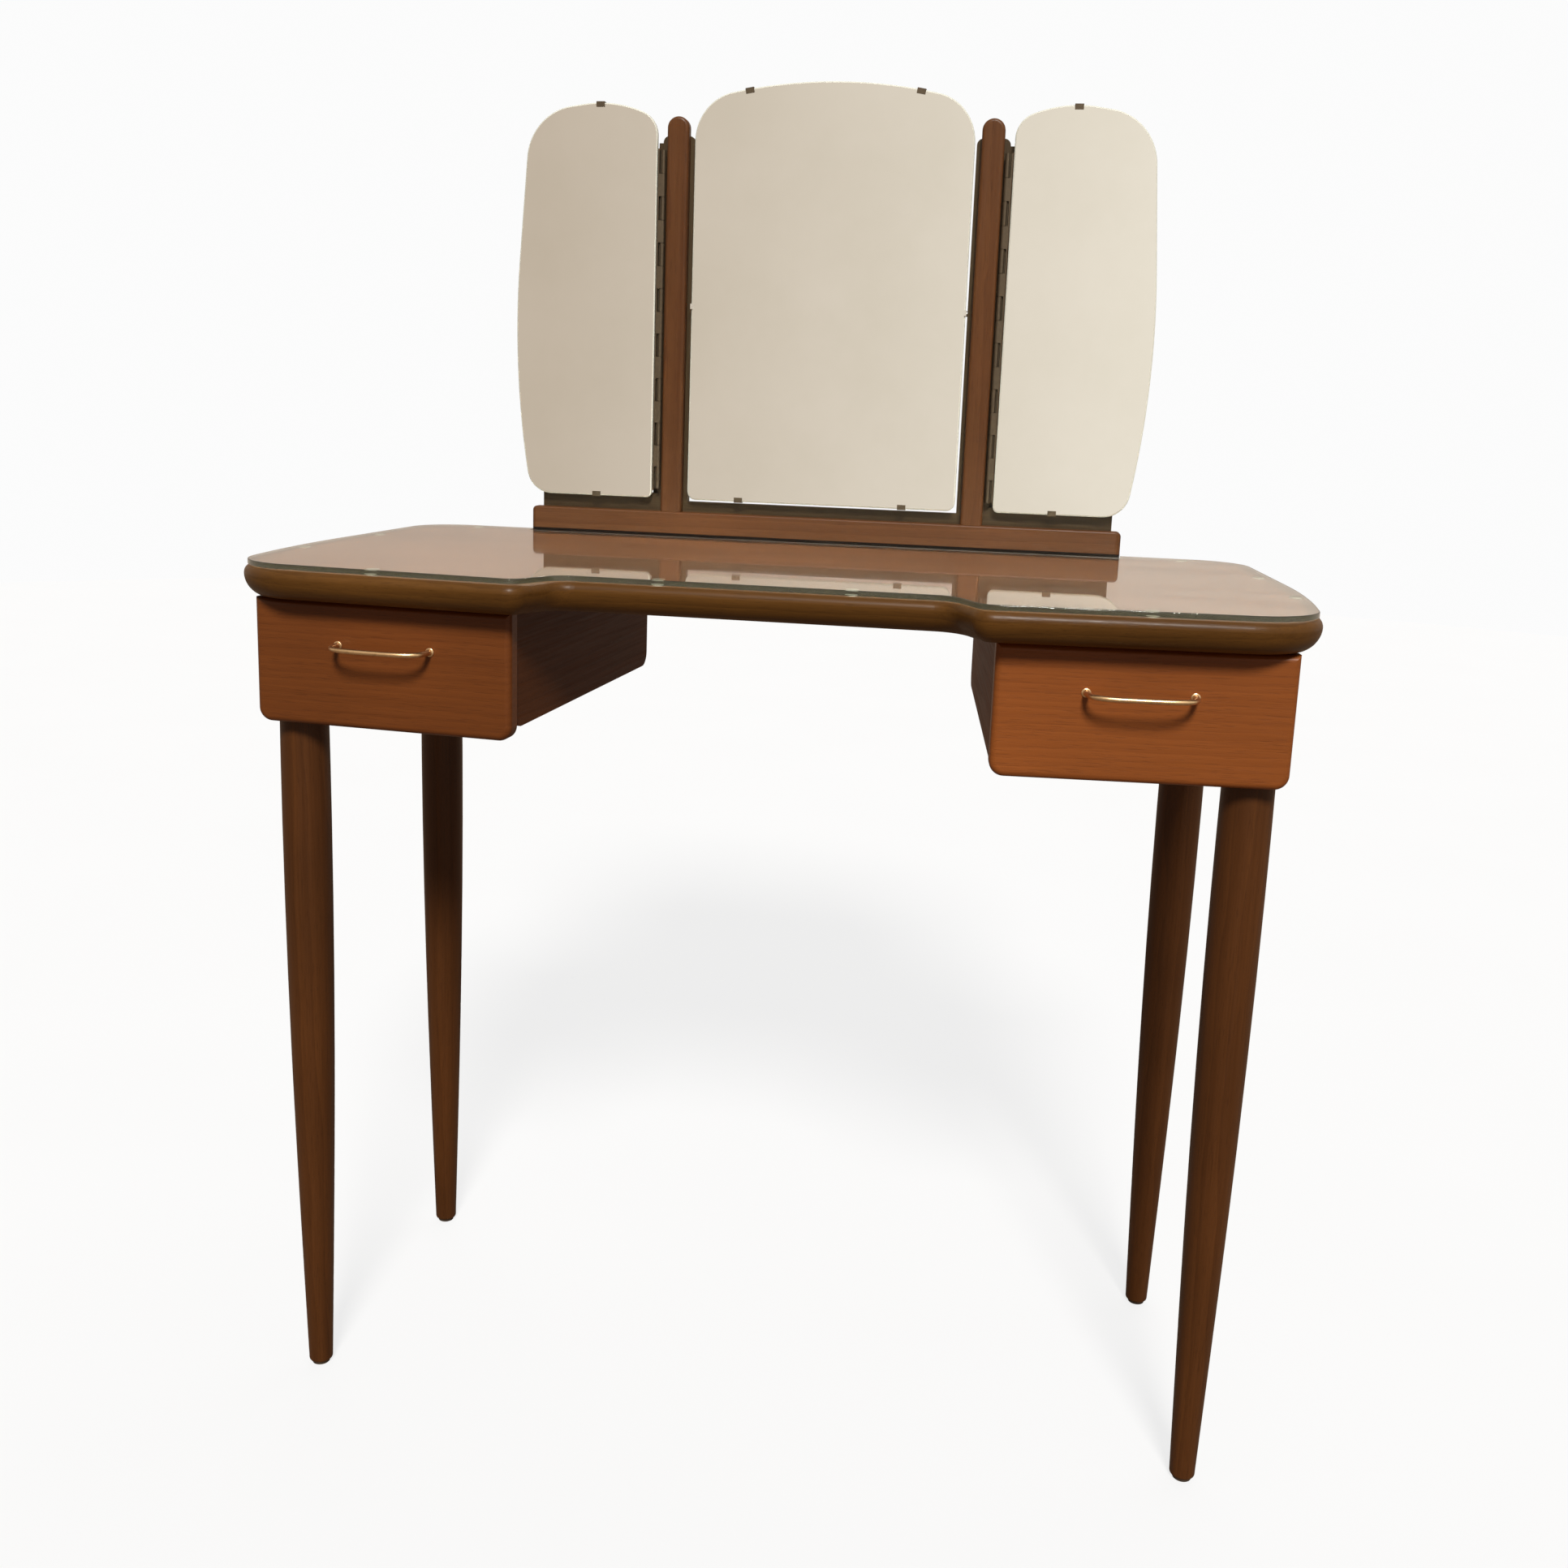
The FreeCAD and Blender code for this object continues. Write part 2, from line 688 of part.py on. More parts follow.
def pivot_bracket():
    """A plate on the back of the backing board with an eye for the pivot pin."""
    edge = centre_half_width - backing_inset
    plate_y = backing_front_y + backing_thickness
    metal = box(edge - pivot_plate_width, edge, plate_y, plate_y + pivot_plate_metal,
                pivot_z - pivot_plate_height / 2, pivot_z + pivot_plate_height / 2)
    eye = pivot_rod(pivot_eye_radius, edge + clip_slack - pivot_eye_width, edge + clip_slack)
    bore_radius = pivot_pin_radius + pivot_pin_clearance
    bore = pivot_rod(bore_radius, pivot_pin_inner_x - pivot_eye_width, stile_inner_x)
    return metal.fuse(eye).cut(bore)


def table_parts():
    """The top, the mirror frame and the legs, which do not move."""
    outline = top_outline()
    board = plate(inset(outline, moulding_width), board_bottom, board_top)
    plinth = box(-plinth_half_length, plinth_half_length, plinth_front_y, rail_front_y, board_top, plinth_top)
    rim = edges_along(plinth, X_AXIS, lambda p: p.z > table_height and p.y < mirror_front_y)
    plinth = plinth.makeFillet(plinth_round, rim)
    ends = edges_along(plinth, Y_AXIS, lambda p: p.z > table_height)
    plinth = plinth.makeFillet(plinth_end_round, ends)
    rebate = box(-plinth_half_length, plinth_half_length, plinth_front_y,
                 plinth_front_y + plinth_rebate_depth, board_top, board_top + plinth_rebate_height)
    plinth = plinth.cut(rebate)
    moulding = edge_moulding()
    screws = []
    for x in plinth_screw_x:
        base = V(x, plinth_front_y + plinth_thickness / 2, board_bottom)
        screw = wood_screw(base, Z_AXIS, top_thickness + plinth_screw_reach)
        board = board.cut(screw)
        moulding = moulding.cut(screw)
        plinth = plinth.cut(screw)
        screws.append(screw)
    for point in cleat_screw_points():
        screw = in_unit(cleat_screw(point))
        board = board.cut(screw).cut(mirrored(screw))
    rail_rear_y = rail_front_y + rail_thickness
    rail = box(-rail_half_length, rail_half_length, rail_front_y, rail_rear_y, board_top, rail_top)
    rail_end = box(stile_outer_x, rail_half_length, rail_front_y, rail_rear_y, board_top, rail_end_top)
    rail = rail.fuse(rail_end).fuse(mirrored(rail_end)).removeSplitter()
    stile = box(stile_inner_x, stile_outer_x, rail_front_y, rail_rear_y, rail_top, stile_top)
    stile = stile.makeFillet(stile_round, edges_along(stile, Y_AXIS, lambda p: p.z > pivot_z))
    pin = pivot_rod(pivot_pin_radius, pivot_pin_inner_x, pivot_pin_outer_x)
    lip = box(stile_outer_x, stile_lip_x, stile_lip_y, rail_rear_y, rail_end_top, stile_top - stile_round)
    stile = stile.fuse(lip).removeSplitter().cut(pin)
    radius = (bead_outer_x - bead_inner_x) / 2
    bead = box(bead_inner_x, bead_outer_x, bead_front_y, rail_front_y, plinth_top, bead_top - radius)
    dome = Part.makeCylinder(radius, rail_front_y - bead_front_y,
                             V(bead_inner_x + radius, bead_front_y, bead_top - radius), Y_AXIS)
    bead = bead.fuse(dome).removeSplitter()
    rim = [e for e in bead.Edges if max(v.Y for v in e.Vertexes) < mirror_front_y
           and max(v.Z for v in e.Vertexes) > pivot_z]
    bead = bead.makeFillet(bead_edge_round, rim)
    leaf = hinge_frame_leaf()
    return {
        "top_board": board,
        "edge_moulding": moulding,
        "glass_top": glass_top(),
        "glass_bumpers": glass_bumpers(),
        "plinth": plinth,
        "plinth_screws": Part.makeCompound(screws),
        "mirror_rail": rail,
        "right_stile": stile,
        "left_stile": mirrored(stile),
        "right_bead": bead,
        "left_bead": mirrored(bead),
        "pivot_pins": both_sides(pin),
        "right_hinge_frame_leaf": leaf,
        "left_hinge_frame_leaf": mirrored(leaf),
    }


def centre_mirror_parts():
    wire = centre_outline()
    rear = backing_front_y + backing_thickness
    backing = mirror_backing(wire)
    reach = centre_half_width - backing_inset - pivot_eye_width
    notch = box(reach, centre_half_width, backing_front_y, rear,
                pivot_z - pivot_notch_height / 2, pivot_z + pivot_notch_height / 2)
    backing = backing.cut(notch).cut(mirrored(notch))
    clips = [edge_clip(wire, x, upper) for x in (-centre_clip_x, centre_clip_x) for upper in (True, False)]
    side = clip(upright(centre_half_width, pivot_z), X_AXIS, side_clip_width, side_clip_lip)
    return {
        "centre_mirror": mirror_glass(wire),
        "centre_backing": backing,
        "centre_clips": Part.makeCompound(clips),
        "centre_side_clips": both_sides(side),
        "centre_pivot_brackets": both_sides(pivot_bracket()),
    }


def wing_parts():
    wire = wing_outline()
    rear = backing_front_y + backing_thickness
    strip = box(wing_backing_inner_x, wing_inner_x + 2 * backing_inset, backing_front_y, rear,
                wing_backing_bottom, wing_backing_top)
    backing = mirror_backing(wire).fuse(strip).removeSplitter()
    clips = [edge_clip(wire, wing_clip_x, upper) for upper in (True, False)]
    return {
        "wing_mirror": mirror_glass(wire),
        "wing_backing": backing,
        "wing_clips": Part.makeCompound(clips),
        "wing_hinge_leaf": hinge_wing_leaf(),
    }


def save(name, shape):
    shape.exportStep("parts/" + name + ".step")


def main():
    os.makedirs("parts", exist_ok=True)
    nodes = {}
    nodes.update(table_parts())
    nodes.update(centre_mirror_parts())
    for name, shape in wing_parts().items():
        nodes["right_" + name] = shape
        nodes["left_" + name] = mirrored(shape)
    for name, shape in list(drawer_parts().items()):
        nodes["right_" + name] = in_unit(shape)
        nodes["left_" + name] = mirrored(in_unit(shape))
    shared = {}
    for name, shape in case_parts().items():
        placed = in_unit(shape)
        if name in ("cleat_screws", "tee_nuts", "leg_bolts", "runners", "cleats"):
            shared[name] = both_sides(placed)
        else:
            nodes["right_" + name] = placed
            nodes["left_" + name] = mirrored(placed)
    nodes.update(shared)
    glides = []
    for where, point in zip(("front", "back"), leg_points()):
        placed = in_unit(leg(point))
        nodes["right_" + where + "_leg"] = placed
        nodes["left_" + where + "_leg"] = mirrored(placed)
        glides.append(both_sides(in_unit(leg_glide(point))))
    nodes["leg_glides"] = Part.makeCompound(glides)
    for name, shape in nodes.items():
        save(name, shape)


main()
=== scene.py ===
"""Finishes, fittings, stage and camera for a kneehole dressing table with a folding mirror."""

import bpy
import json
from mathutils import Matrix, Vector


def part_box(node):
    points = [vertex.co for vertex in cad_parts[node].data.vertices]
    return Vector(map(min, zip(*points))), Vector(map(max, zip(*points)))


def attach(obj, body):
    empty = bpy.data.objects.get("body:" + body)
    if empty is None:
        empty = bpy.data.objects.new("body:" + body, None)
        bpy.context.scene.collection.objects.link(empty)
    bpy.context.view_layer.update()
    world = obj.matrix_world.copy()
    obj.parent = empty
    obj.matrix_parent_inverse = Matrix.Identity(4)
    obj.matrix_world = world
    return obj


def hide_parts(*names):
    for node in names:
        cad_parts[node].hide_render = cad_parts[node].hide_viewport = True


bl_info = {
    "name": "Dressing Table Looks",
    "version": (1, 0, 0),
    "blender": (4, 5, 0),
    "location": "View3D > Sidebar > Dressing Table",
    "description": "Timber, glass and metal finishes, fine fittings and a studio for a dressing table",
    "category": "Add Mesh",
}

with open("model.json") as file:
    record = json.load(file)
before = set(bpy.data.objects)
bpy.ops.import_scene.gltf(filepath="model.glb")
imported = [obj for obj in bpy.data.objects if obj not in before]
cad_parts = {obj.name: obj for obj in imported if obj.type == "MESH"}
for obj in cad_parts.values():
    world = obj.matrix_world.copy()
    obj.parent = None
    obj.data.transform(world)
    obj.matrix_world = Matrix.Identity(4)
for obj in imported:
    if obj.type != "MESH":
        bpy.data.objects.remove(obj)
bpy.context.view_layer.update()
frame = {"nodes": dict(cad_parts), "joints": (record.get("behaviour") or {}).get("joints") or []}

import json
import math

import bpy
import numpy as np
from mathutils import Matrix, Vector

SIDES = {"left": -1.0, "right": 1.0}
FULL_TURN = 2 * math.pi
MM = 0.001
SLIDES = {joint["name"]: joint["axis"] for joint in frame["joints"] if joint["name"].endswith("_slide")}
UNIT_TURN = math.asin(abs(SLIDES["right_drawer_slide"][0]))  # each drawer unit, from straight ahead
ALONG_X = (0.0, 0.0, 0.0)              # turns of the grain
ALONG_Y = (0.0, 0.0, math.pi / 2)
UPRIGHT = (0.0, math.pi / 2, 0.0)
MIX_INPUTS = (0, 6, 7)                 # share, first and second colour of a Mix node set to colours
MIX_RESULT = 2
MERGE_GAP = 0.02 * MM                  # points nearer than this count as one


# ---------------------------------------------------------------- settings

def length(name, description, default):
    return bpy.props.FloatProperty(name=name, description=description, default=default, min=0.0,
                                   unit="LENGTH", precision=4)


def colour(name, description, default):
    return bpy.props.FloatVectorProperty(name=name, description=description, default=default, size=3,
                                         min=0.0, max=1.0, subtype="COLOR")


def plain(name, description, default):
    return bpy.props.FloatProperty(name=name, description=description, default=default)


def angle(name, description, default):
    return bpy.props.FloatProperty(name=name, description=description, default=default, subtype="ANGLE")


class TimberColours(bpy.types.PropertyGroup):
    teak_dark: colour("Teak, dark", "Late wood of the drawer fronts and cases", (0.150, 0.040, 0.0080))
    teak_light: colour("Teak, light", "Early wood of the drawer fronts and cases", (0.250, 0.072, 0.0145))
    top_dark: colour("Top, dark", "Late wood of the board under the glass", (0.160, 0.055, 0.020))
    top_light: colour("Top, light", "Early wood of the board under the glass", (0.330, 0.130, 0.058))
    moulding_dark: colour("Moulding, dark", "Late wood of the edge moulding", (0.056, 0.022, 0.0040))
    moulding_light: colour("Moulding, light", "Early wood of the edge moulding", (0.108, 0.045, 0.0085))
    post_dark: colour("Posts, dark", "Late wood of the beads and the plinth", (0.066, 0.022, 0.0060))
    post_light: colour("Posts, light", "Early wood of the beads and the plinth", (0.112, 0.043, 0.0130))
    # Painted shade: the stiles and rail are coloured as dark as they look in their shade behind the mirrors.
    frame_dark: colour("Frame, dark", "Late wood of the stiles and the rail", (0.030, 0.018, 0.0075))
    frame_light: colour("Frame, light", "Early wood of the stiles and the rail", (0.065, 0.041, 0.0180))
    leg_dark: colour("Legs, dark", "Late wood of the turned legs", (0.046, 0.0145, 0.0032))
    leg_light: colour("Legs, light", "Early wood of the turned legs", (0.084, 0.028, 0.0065))
    inner_dark: colour("Drawer box, dark", "Late wood of the drawer boxes", (0.36, 0.22, 0.10))
    inner_light: colour("Drawer box, light", "Early wood of the drawer boxes", (0.58, 0.42, 0.24))
    backing_dark: colour("Backing, dark", "Late wood of the mirror backings", (0.10, 0.055, 0.025))
    backing_light: colour("Backing, light", "Early wood of the mirror backings", (0.19, 0.115, 0.060))
    # Painted shade: the left unit's teak is darkened to this share of the right's, for the lesser light on it.
    left_painted_shade: plain("Left unit's tone", "Shade of the left unit's teak, as a share of the right's", 0.62)
    # Painted shade: the case sides, inside and out, are darkened to this share of the drawer front's teak, for
    # the shade under the top.
    case_painted_shade: plain("Case tone", "Shade of the case sides, as a share of the drawer front's", 0.62)


class FittingColours(bpy.types.PropertyGroup):
    brass: colour("Brass", "Handles where the brass is bright", (0.72, 0.49, 0.27))
    brass_dull: colour("Brass, dull", "Handles where the brass has tarnished", (0.26, 0.14, 0.06))
    bronze: colour("Bronze", "Bronzed hinges, brackets and clips", (0.085, 0.062, 0.038))
    bronze_dull: colour("Bronze, dull", "Bronzed steel where it has tarnished", (0.04, 0.03, 0.02))
    zinc: colour("Zinc", "Plated pins, screws and bolts", (0.55, 0.55, 0.54))
    zinc_dull: colour("Zinc, dull", "Plating where it has dulled", (0.30, 0.29, 0.27))
    clip: colour("Side clips", "Bright clips at the sides of the middle mirror", (0.82, 0.80, 0.76))
    clip_dull: colour("Side clips, dull", "Bright clips where they have dulled", (0.45, 0.42, 0.38))
    old_steel: colour("Old steel", "Slotted screw heads at the back", (0.42, 0.38, 0.32))
    old_steel_dull: colour("Old steel, dull", "Screw heads where they have rusted", (0.12, 0.09, 0.07))
    nylon: colour("Nylon", "Glides under the legs", (0.045, 0.030, 0.020))
    nylon_scuffed: colour("Nylon, scuffed", "Glides where they are scuffed", (0.13, 0.10, 0.07))
    bumper: colour("Bumpers", "Milky discs under the glass", (0.52, 0.50, 0.44))
    bumper_scuffed: colour("Bumpers, scuffed", "Discs where they are scuffed", (0.70, 0.68, 0.62))
    glass_depth: colour("Glass, through its edge", "Tint of a long way through the glass", (0.42, 0.46, 0.22))
    glass_veil: colour("Glass veil", "Haze on the glass at a low angle", (1.0, 0.88, 0.78))


class FittingSizes(bpy.types.PropertyGroup):
    mirror_arris: length("Mirror arris", "Width of the ground band round each mirror", 1.2 * MM)
    mirror_arris_depth: length("Arris depth", "How far back the ground band slopes", 0.7 * MM)
    mirror_edge_round: length("Edge round", "Rounding of the mirrors' rear edge", 0.6 * MM)
    handle_foot: length("Handle foot", "Radius of the flange at each end of a handle", 3.6 * MM)
    handle_middle: length("Handle middle", "Radius of the bar at the middle of its bow", 1.9 * MM)
    handle_end: length("Handle end", "Radius of the bar where it meets its feet", 2.3 * MM)
    # Painted shadow: the plinth's wood is darkened up to this height above its foot, for the shadow in its
    # groove.
    plinth_painted_shadow: length("Plinth groove", "Height of the dark groove along the plinth's foot", 8.0 * MM)
    screw_head: length("Screw head", "Radius of the slotted heads at the back", 3.6 * MM)
    screw_rise: length("Screw rise", "How far the heads stand out", 1.1 * MM)
    # Painted shadow: the width over which the plinth's painted shadow fades out.
    stain_edge: length("Stain edge", "How softly the groove's dark stain ends", 0.6 * MM)


class StageSettings(bpy.types.PropertyGroup):
    eye: bpy.props.FloatVectorProperty(name="Eye", description="Place of the camera", size=3, unit="LENGTH",
                                       default=(0.1947, -1.3097, 0.8575))
    yaw: angle("Yaw", "Turn of the camera to the left of straight ahead", 0.155262)
    pitch: angle("Pitch", "How far the camera looks down", 0.198372)
    roll: angle("Roll", "Lean of the camera", 0.034096)
    lens: plain("Lens", "Focal length in millimetres for a 36 mm sensor", 35.626)
    shift_across: plain("Shift across", "Sideways shift of the picture", 0.00884)
    shift_up: plain("Shift up", "Upward shift of the picture", -0.04729)
    floor_radius: length("Floor radius", "Reach of the floor from the middle", 6.0)
    backdrop: colour("Backdrop", "Colour behind the object", (0.97, 0.97, 0.97))
    bounce: colour("Floor bounce", "Colour of the floor in reflections and bounced light", (0.20, 0.15, 0.11))
    glow: plain("Floor glow", "Share of the floor's look that shadows don't darken", 0.80)
    room_left: colour("Room, left", "What polished surfaces reflect from the left", (0.60, 0.52, 0.43))
    room_right: colour("Room, right", "What polished surfaces reflect from the right", (0.93, 0.88, 0.78))
    wall: colour("Wall", "What polished surfaces reflect from behind the object", (0.54, 0.45, 0.38))
    ambient_low: colour("Ambient, low", "Light from level with the object", (0.055, 0.052, 0.05))
    ambient_high: colour("Ambient, high", "Light from above", (0.40, 0.40, 0.40))
    key_colour: colour("Key colour", "Colour of the main light", (1.0, 0.97, 0.93))
    key_strength: plain("Key strength", "Strength of the main light", 4.1)
    key_height: angle("Key height", "Height of the main light above the horizon", math.radians(43))
    key_side: angle("Key side", "Turn of the main light to the right of the front", math.radians(11))
    key_size: angle("Key size", "Apparent size of the main light", math.radians(14))
    fill_colour: colour("Fill colour", "Colour of the soft light from behind", (1.0, 0.99, 0.97))
    fill_strength: plain("Fill strength", "Strength of the soft light from behind", 0.9)
    fill_height: angle("Fill height", "Height of the soft light above the horizon", math.radians(42))
    fill_side: angle("Fill side", "Turn of the soft light to the right of the front", math.radians(168))
    fill_size: angle("Fill size", "Apparent size of the soft light", math.radians(80))


# ---------------------------------------------------------------- meshes

class Shell:
    """Points and faces gathered from several surfaces before they become one mesh."""

    def __init__(self):
        self.points = []
        self.faces = []
        self.finishes = []
        self.count = 0

    def add(self, grid, caps=True, finishes=None, cap_finishes=(0, 0)):
        """Adds a surface through a grid of points (rows, columns, 3) whose columns run all the way round.
        Rows follow a profile, and the first and last rows may be capped."""
        rows, columns = grid.shape[:2]
        r, c = np.meshgrid(np.arange(rows - 1), np.arange(columns), indexing="ij")
        beside = (c + 1) % columns
        quads = np.stack([r * columns + c, r * columns + beside, (r + 1) * columns + beside,
                          (r + 1) * columns + c], axis=-1).reshape(-1, 4)
        points = grid.reshape(-1, 3)
        if finishes is None:
            finishes = [0] * (rows - 1)
        marks = np.repeat(np.asarray(finishes), columns).tolist()
        faces = quads.tolist()
        if caps:
            faces.append(list(range(columns))[::-1])
            faces.append(list(range((rows - 1) * columns, rows * columns)))
            marks += list(cap_finishes)
        if self.volume(points, quads, caps, rows, columns) < 0:
            faces = [face[::-1] for face in faces]
        self.faces += [[i + self.count for i in face] for face in faces]
        self.finishes += marks
        self.points.append(points)
        self.count += len(points)

    @staticmethod
    def volume(points, quads, capped, rows, columns):
        """Signed volume: the sum of the tetrahedra from the middle to each face's triangles."""
        centred = points - points.mean(axis=0)
        ring = np.arange(columns)
        corners = [quads[:, [0, 1, 2]], quads[:, [0, 2, 3]]]
        if capped:
            last = (rows - 1) * columns + ring
            corners.append(np.stack([ring[1:-1] * 0, ring[2:], ring[1:-1]], axis=-1))
            corners.append(np.stack([last[1:-1] * 0 + last[0], last[1:-1], last[2:]], axis=-1))
        tri = centred[np.concatenate(corners)]
        return float(np.einsum("ij,ij->", tri[:, 0], np.cross(tri[:, 1], tri[:, 2])))

    def piece(self, name, materials, sharp=math.radians(38)):
        """The gathered surfaces as one object at the origin, smooth but for edges sharper than an angle."""
        mesh = bpy.data.meshes.new(name)
        mesh.from_pydata(np.concatenate(self.points).tolist(), [], self.faces)
        for material in materials:
            mesh.materials.append(material)
        mesh.polygons.foreach_set("material_index", np.asarray(self.finishes, dtype=np.int32))
        mesh.polygons.foreach_set("use_smooth", np.ones(len(mesh.polygons), dtype=bool))
        mesh.update()
        mesh.set_sharp_from_angle(angle=sharp)
        made = bpy.data.objects.new(name, mesh)
        bpy.context.scene.collection.objects.link(made)
        return made


def node_points(node):
    """The vertices of a CAD node as an array."""
    mesh = frame["nodes"][node].data
    flat = np.empty(len(mesh.vertices) * 3)
    mesh.vertices.foreach_get("co", flat)
    return flat.reshape(-1, 3)


def extent(points, direction):
    """Least and greatest distance of the points along a direction."""
    along = points @ np.asarray(direction)
    return float(along.min()), float(along.max())


def lathe(profile, centre, axis, segments=48):
    """A profile of (radius, height) rows turned round an axis: centre + height * axis + radius * spoke."""
    axis = np.asarray(axis, dtype=float)
    side = np.cross(axis, (0.0, 0.0, 1.0) if abs(axis[2]) < 0.9 else (1.0, 0.0, 0.0))
    side /= np.linalg.norm(side)
    other = np.cross(axis, side)
    turn = np.linspace(0, FULL_TURN, segments, endpoint=False)
    spoke = np.cos(turn)[:, None] * side + np.sin(turn)[:, None] * other
    profile = np.asarray(profile)
    return (np.asarray(centre) + profile[:, 1, None, None] * axis + profile[:, 0, None, None] * spoke)


def tube(path, radii, upright, segments=24):
    """A round bar along a flat path: each ring stands square to the path, with its own radius."""
    ahead = np.gradient(path, axis=0)
    ahead /= np.linalg.norm(ahead, axis=1)[:, None]
    across = np.cross(ahead, upright)
    turn = np.linspace(0, FULL_TURN, segments, endpoint=False)
    ring = (np.cos(turn)[None, :, None] * across[:, None, :]
            + np.sin(turn)[None, :, None] * np.asarray(upright)[None, None, :])
    return path[:, None, :] + radii[:, None, None] * ring


def convex_outline(points, count):
    """The rim of a flat convex plate, (count, 2) in x and z: its outermost points by their direction from
    the middle, then evenly spaced along the line through them."""
    flat = points[:, [0, 2]]
    middle = (flat.min(axis=0) + flat.max(axis=0)) / 2
    turn = np.arctan2(*(flat - middle).T[::-1])
    order = np.argsort(turn)
    rim = flat[order]
    keep = np.concatenate([[True], np.linalg.norm(np.diff(rim, axis=0), axis=1) > MERGE_GAP])
    rim = rim[keep]
    closed = np.vstack([rim, rim[:1]])
    run = np.concatenate([[0.0], np.cumsum(np.linalg.norm(np.diff(closed, axis=0), axis=1))])
    even = np.linspace(0, run[-1], count, endpoint=False)
    return np.stack([np.interp(even, run, closed[:, 0]), np.interp(even, run, closed[:, 1])], axis=-1)


def inwards(outline):
    """Unit vectors from each point of a closed anticlockwise outline towards its inside."""
    ahead = np.roll(outline, -1, axis=0) - np.roll(outline, 1, axis=0)
    ahead /= np.linalg.norm(ahead, axis=1)[:, None]
    return np.stack([-ahead[:, 1], ahead[:, 0]], axis=-1)


# ---------------------------------------------------------------- materials

class Graph:
    """A node tree, built from the sockets up."""

    def __init__(self, tree):
        self.tree = tree

    def node(self, kind, settings=None, **sockets):
        """A node of a kind, with its settings and its inputs; an underscore in a name stands for a space."""
        made = self.tree.nodes.new("ShaderNode" + kind)
        for key, value in (settings or {}).items():
            setattr(made, key, value)
        for key, value in sockets.items():
            self.put(made, key.replace("_", " "), value)
        return made

    def put(self, made, key, value):
        """Links a socket to an input, given by name or number, or sets the input's own value."""
        if isinstance(value, bpy.types.NodeSocket):
            self.tree.links.new(value, made.inputs[key])
        else:
            made.inputs[key].default_value = value

    def math(self, operation, first, second):
        made = self.node("Math", {"operation": operation})
        self.put(made, 0, first)
        self.put(made, 1, second)
        return made.outputs[0]

    def weighted(self, first, *others):
        """The sum of (value, weight) pairs, each value times its weight."""
        total = self.math("MULTIPLY", *first)
        for value, weight in others:
            total = self.math("ADD", total, self.math("MULTIPLY", value, weight))
        return total

    def span(self, value, low, high, new_low=0.0, new_high=1.0):
        """A value carried from one range to another, and kept inside it."""
        made = self.node("MapRange", Value=value)
        for key, number in zip(("From Min", "From Max", "To Min", "To Max"), (low, high, new_low, new_high)):
            made.inputs[key].default_value = number
        return made.outputs["Result"]

    def mix(self, share, first, second):
        """A share of the way from the first colour to the second."""
        made = self.node("Mix", {"data_type": "RGBA"})
        for index, value in zip(MIX_INPUTS, (share, first, second)):
            self.put(made, index, (*value, 1.0) if hasattr(value, "__len__") else value)
        return made.outputs[MIX_RESULT]

    def noise(self, where, scale=1.0, detail=2.0, roughness=0.5, stretch=None):
        """Fractal noise with so many cells a metre, or with stretch as the number along each axis."""
        if stretch is not None:
            where = self.node("Mapping", Vector=where, Scale=stretch).outputs["Vector"]
        made = self.node("TexNoise", Vector=where, Scale=scale, Detail=detail, Roughness=roughness)
        return made.outputs["Fac"]


class Finish(Graph):
    """A material with its shader and the place of each point on the object."""

    def __init__(self, name):
        self.material = bpy.data.materials.new(name)
        self.material.use_nodes = True
        super().__init__(self.material.node_tree)
        self.shader = self.tree.nodes["Principled BSDF"]
        self.where = self.node("TexCoord").outputs["Object"]

    def surface(self, **sockets):
        for key, value in sockets.items():
            self.put(self.shader, key.replace("_", " "), value)

    def bump(self, height, strength, distance):
        made = self.node("Bump", Height=height, Strength=strength, Distance=distance)
        self.put(self.shader, "Normal", made.outputs["Normal"])


def scaled(shade, share):
    return tuple(share * part for part in shade)


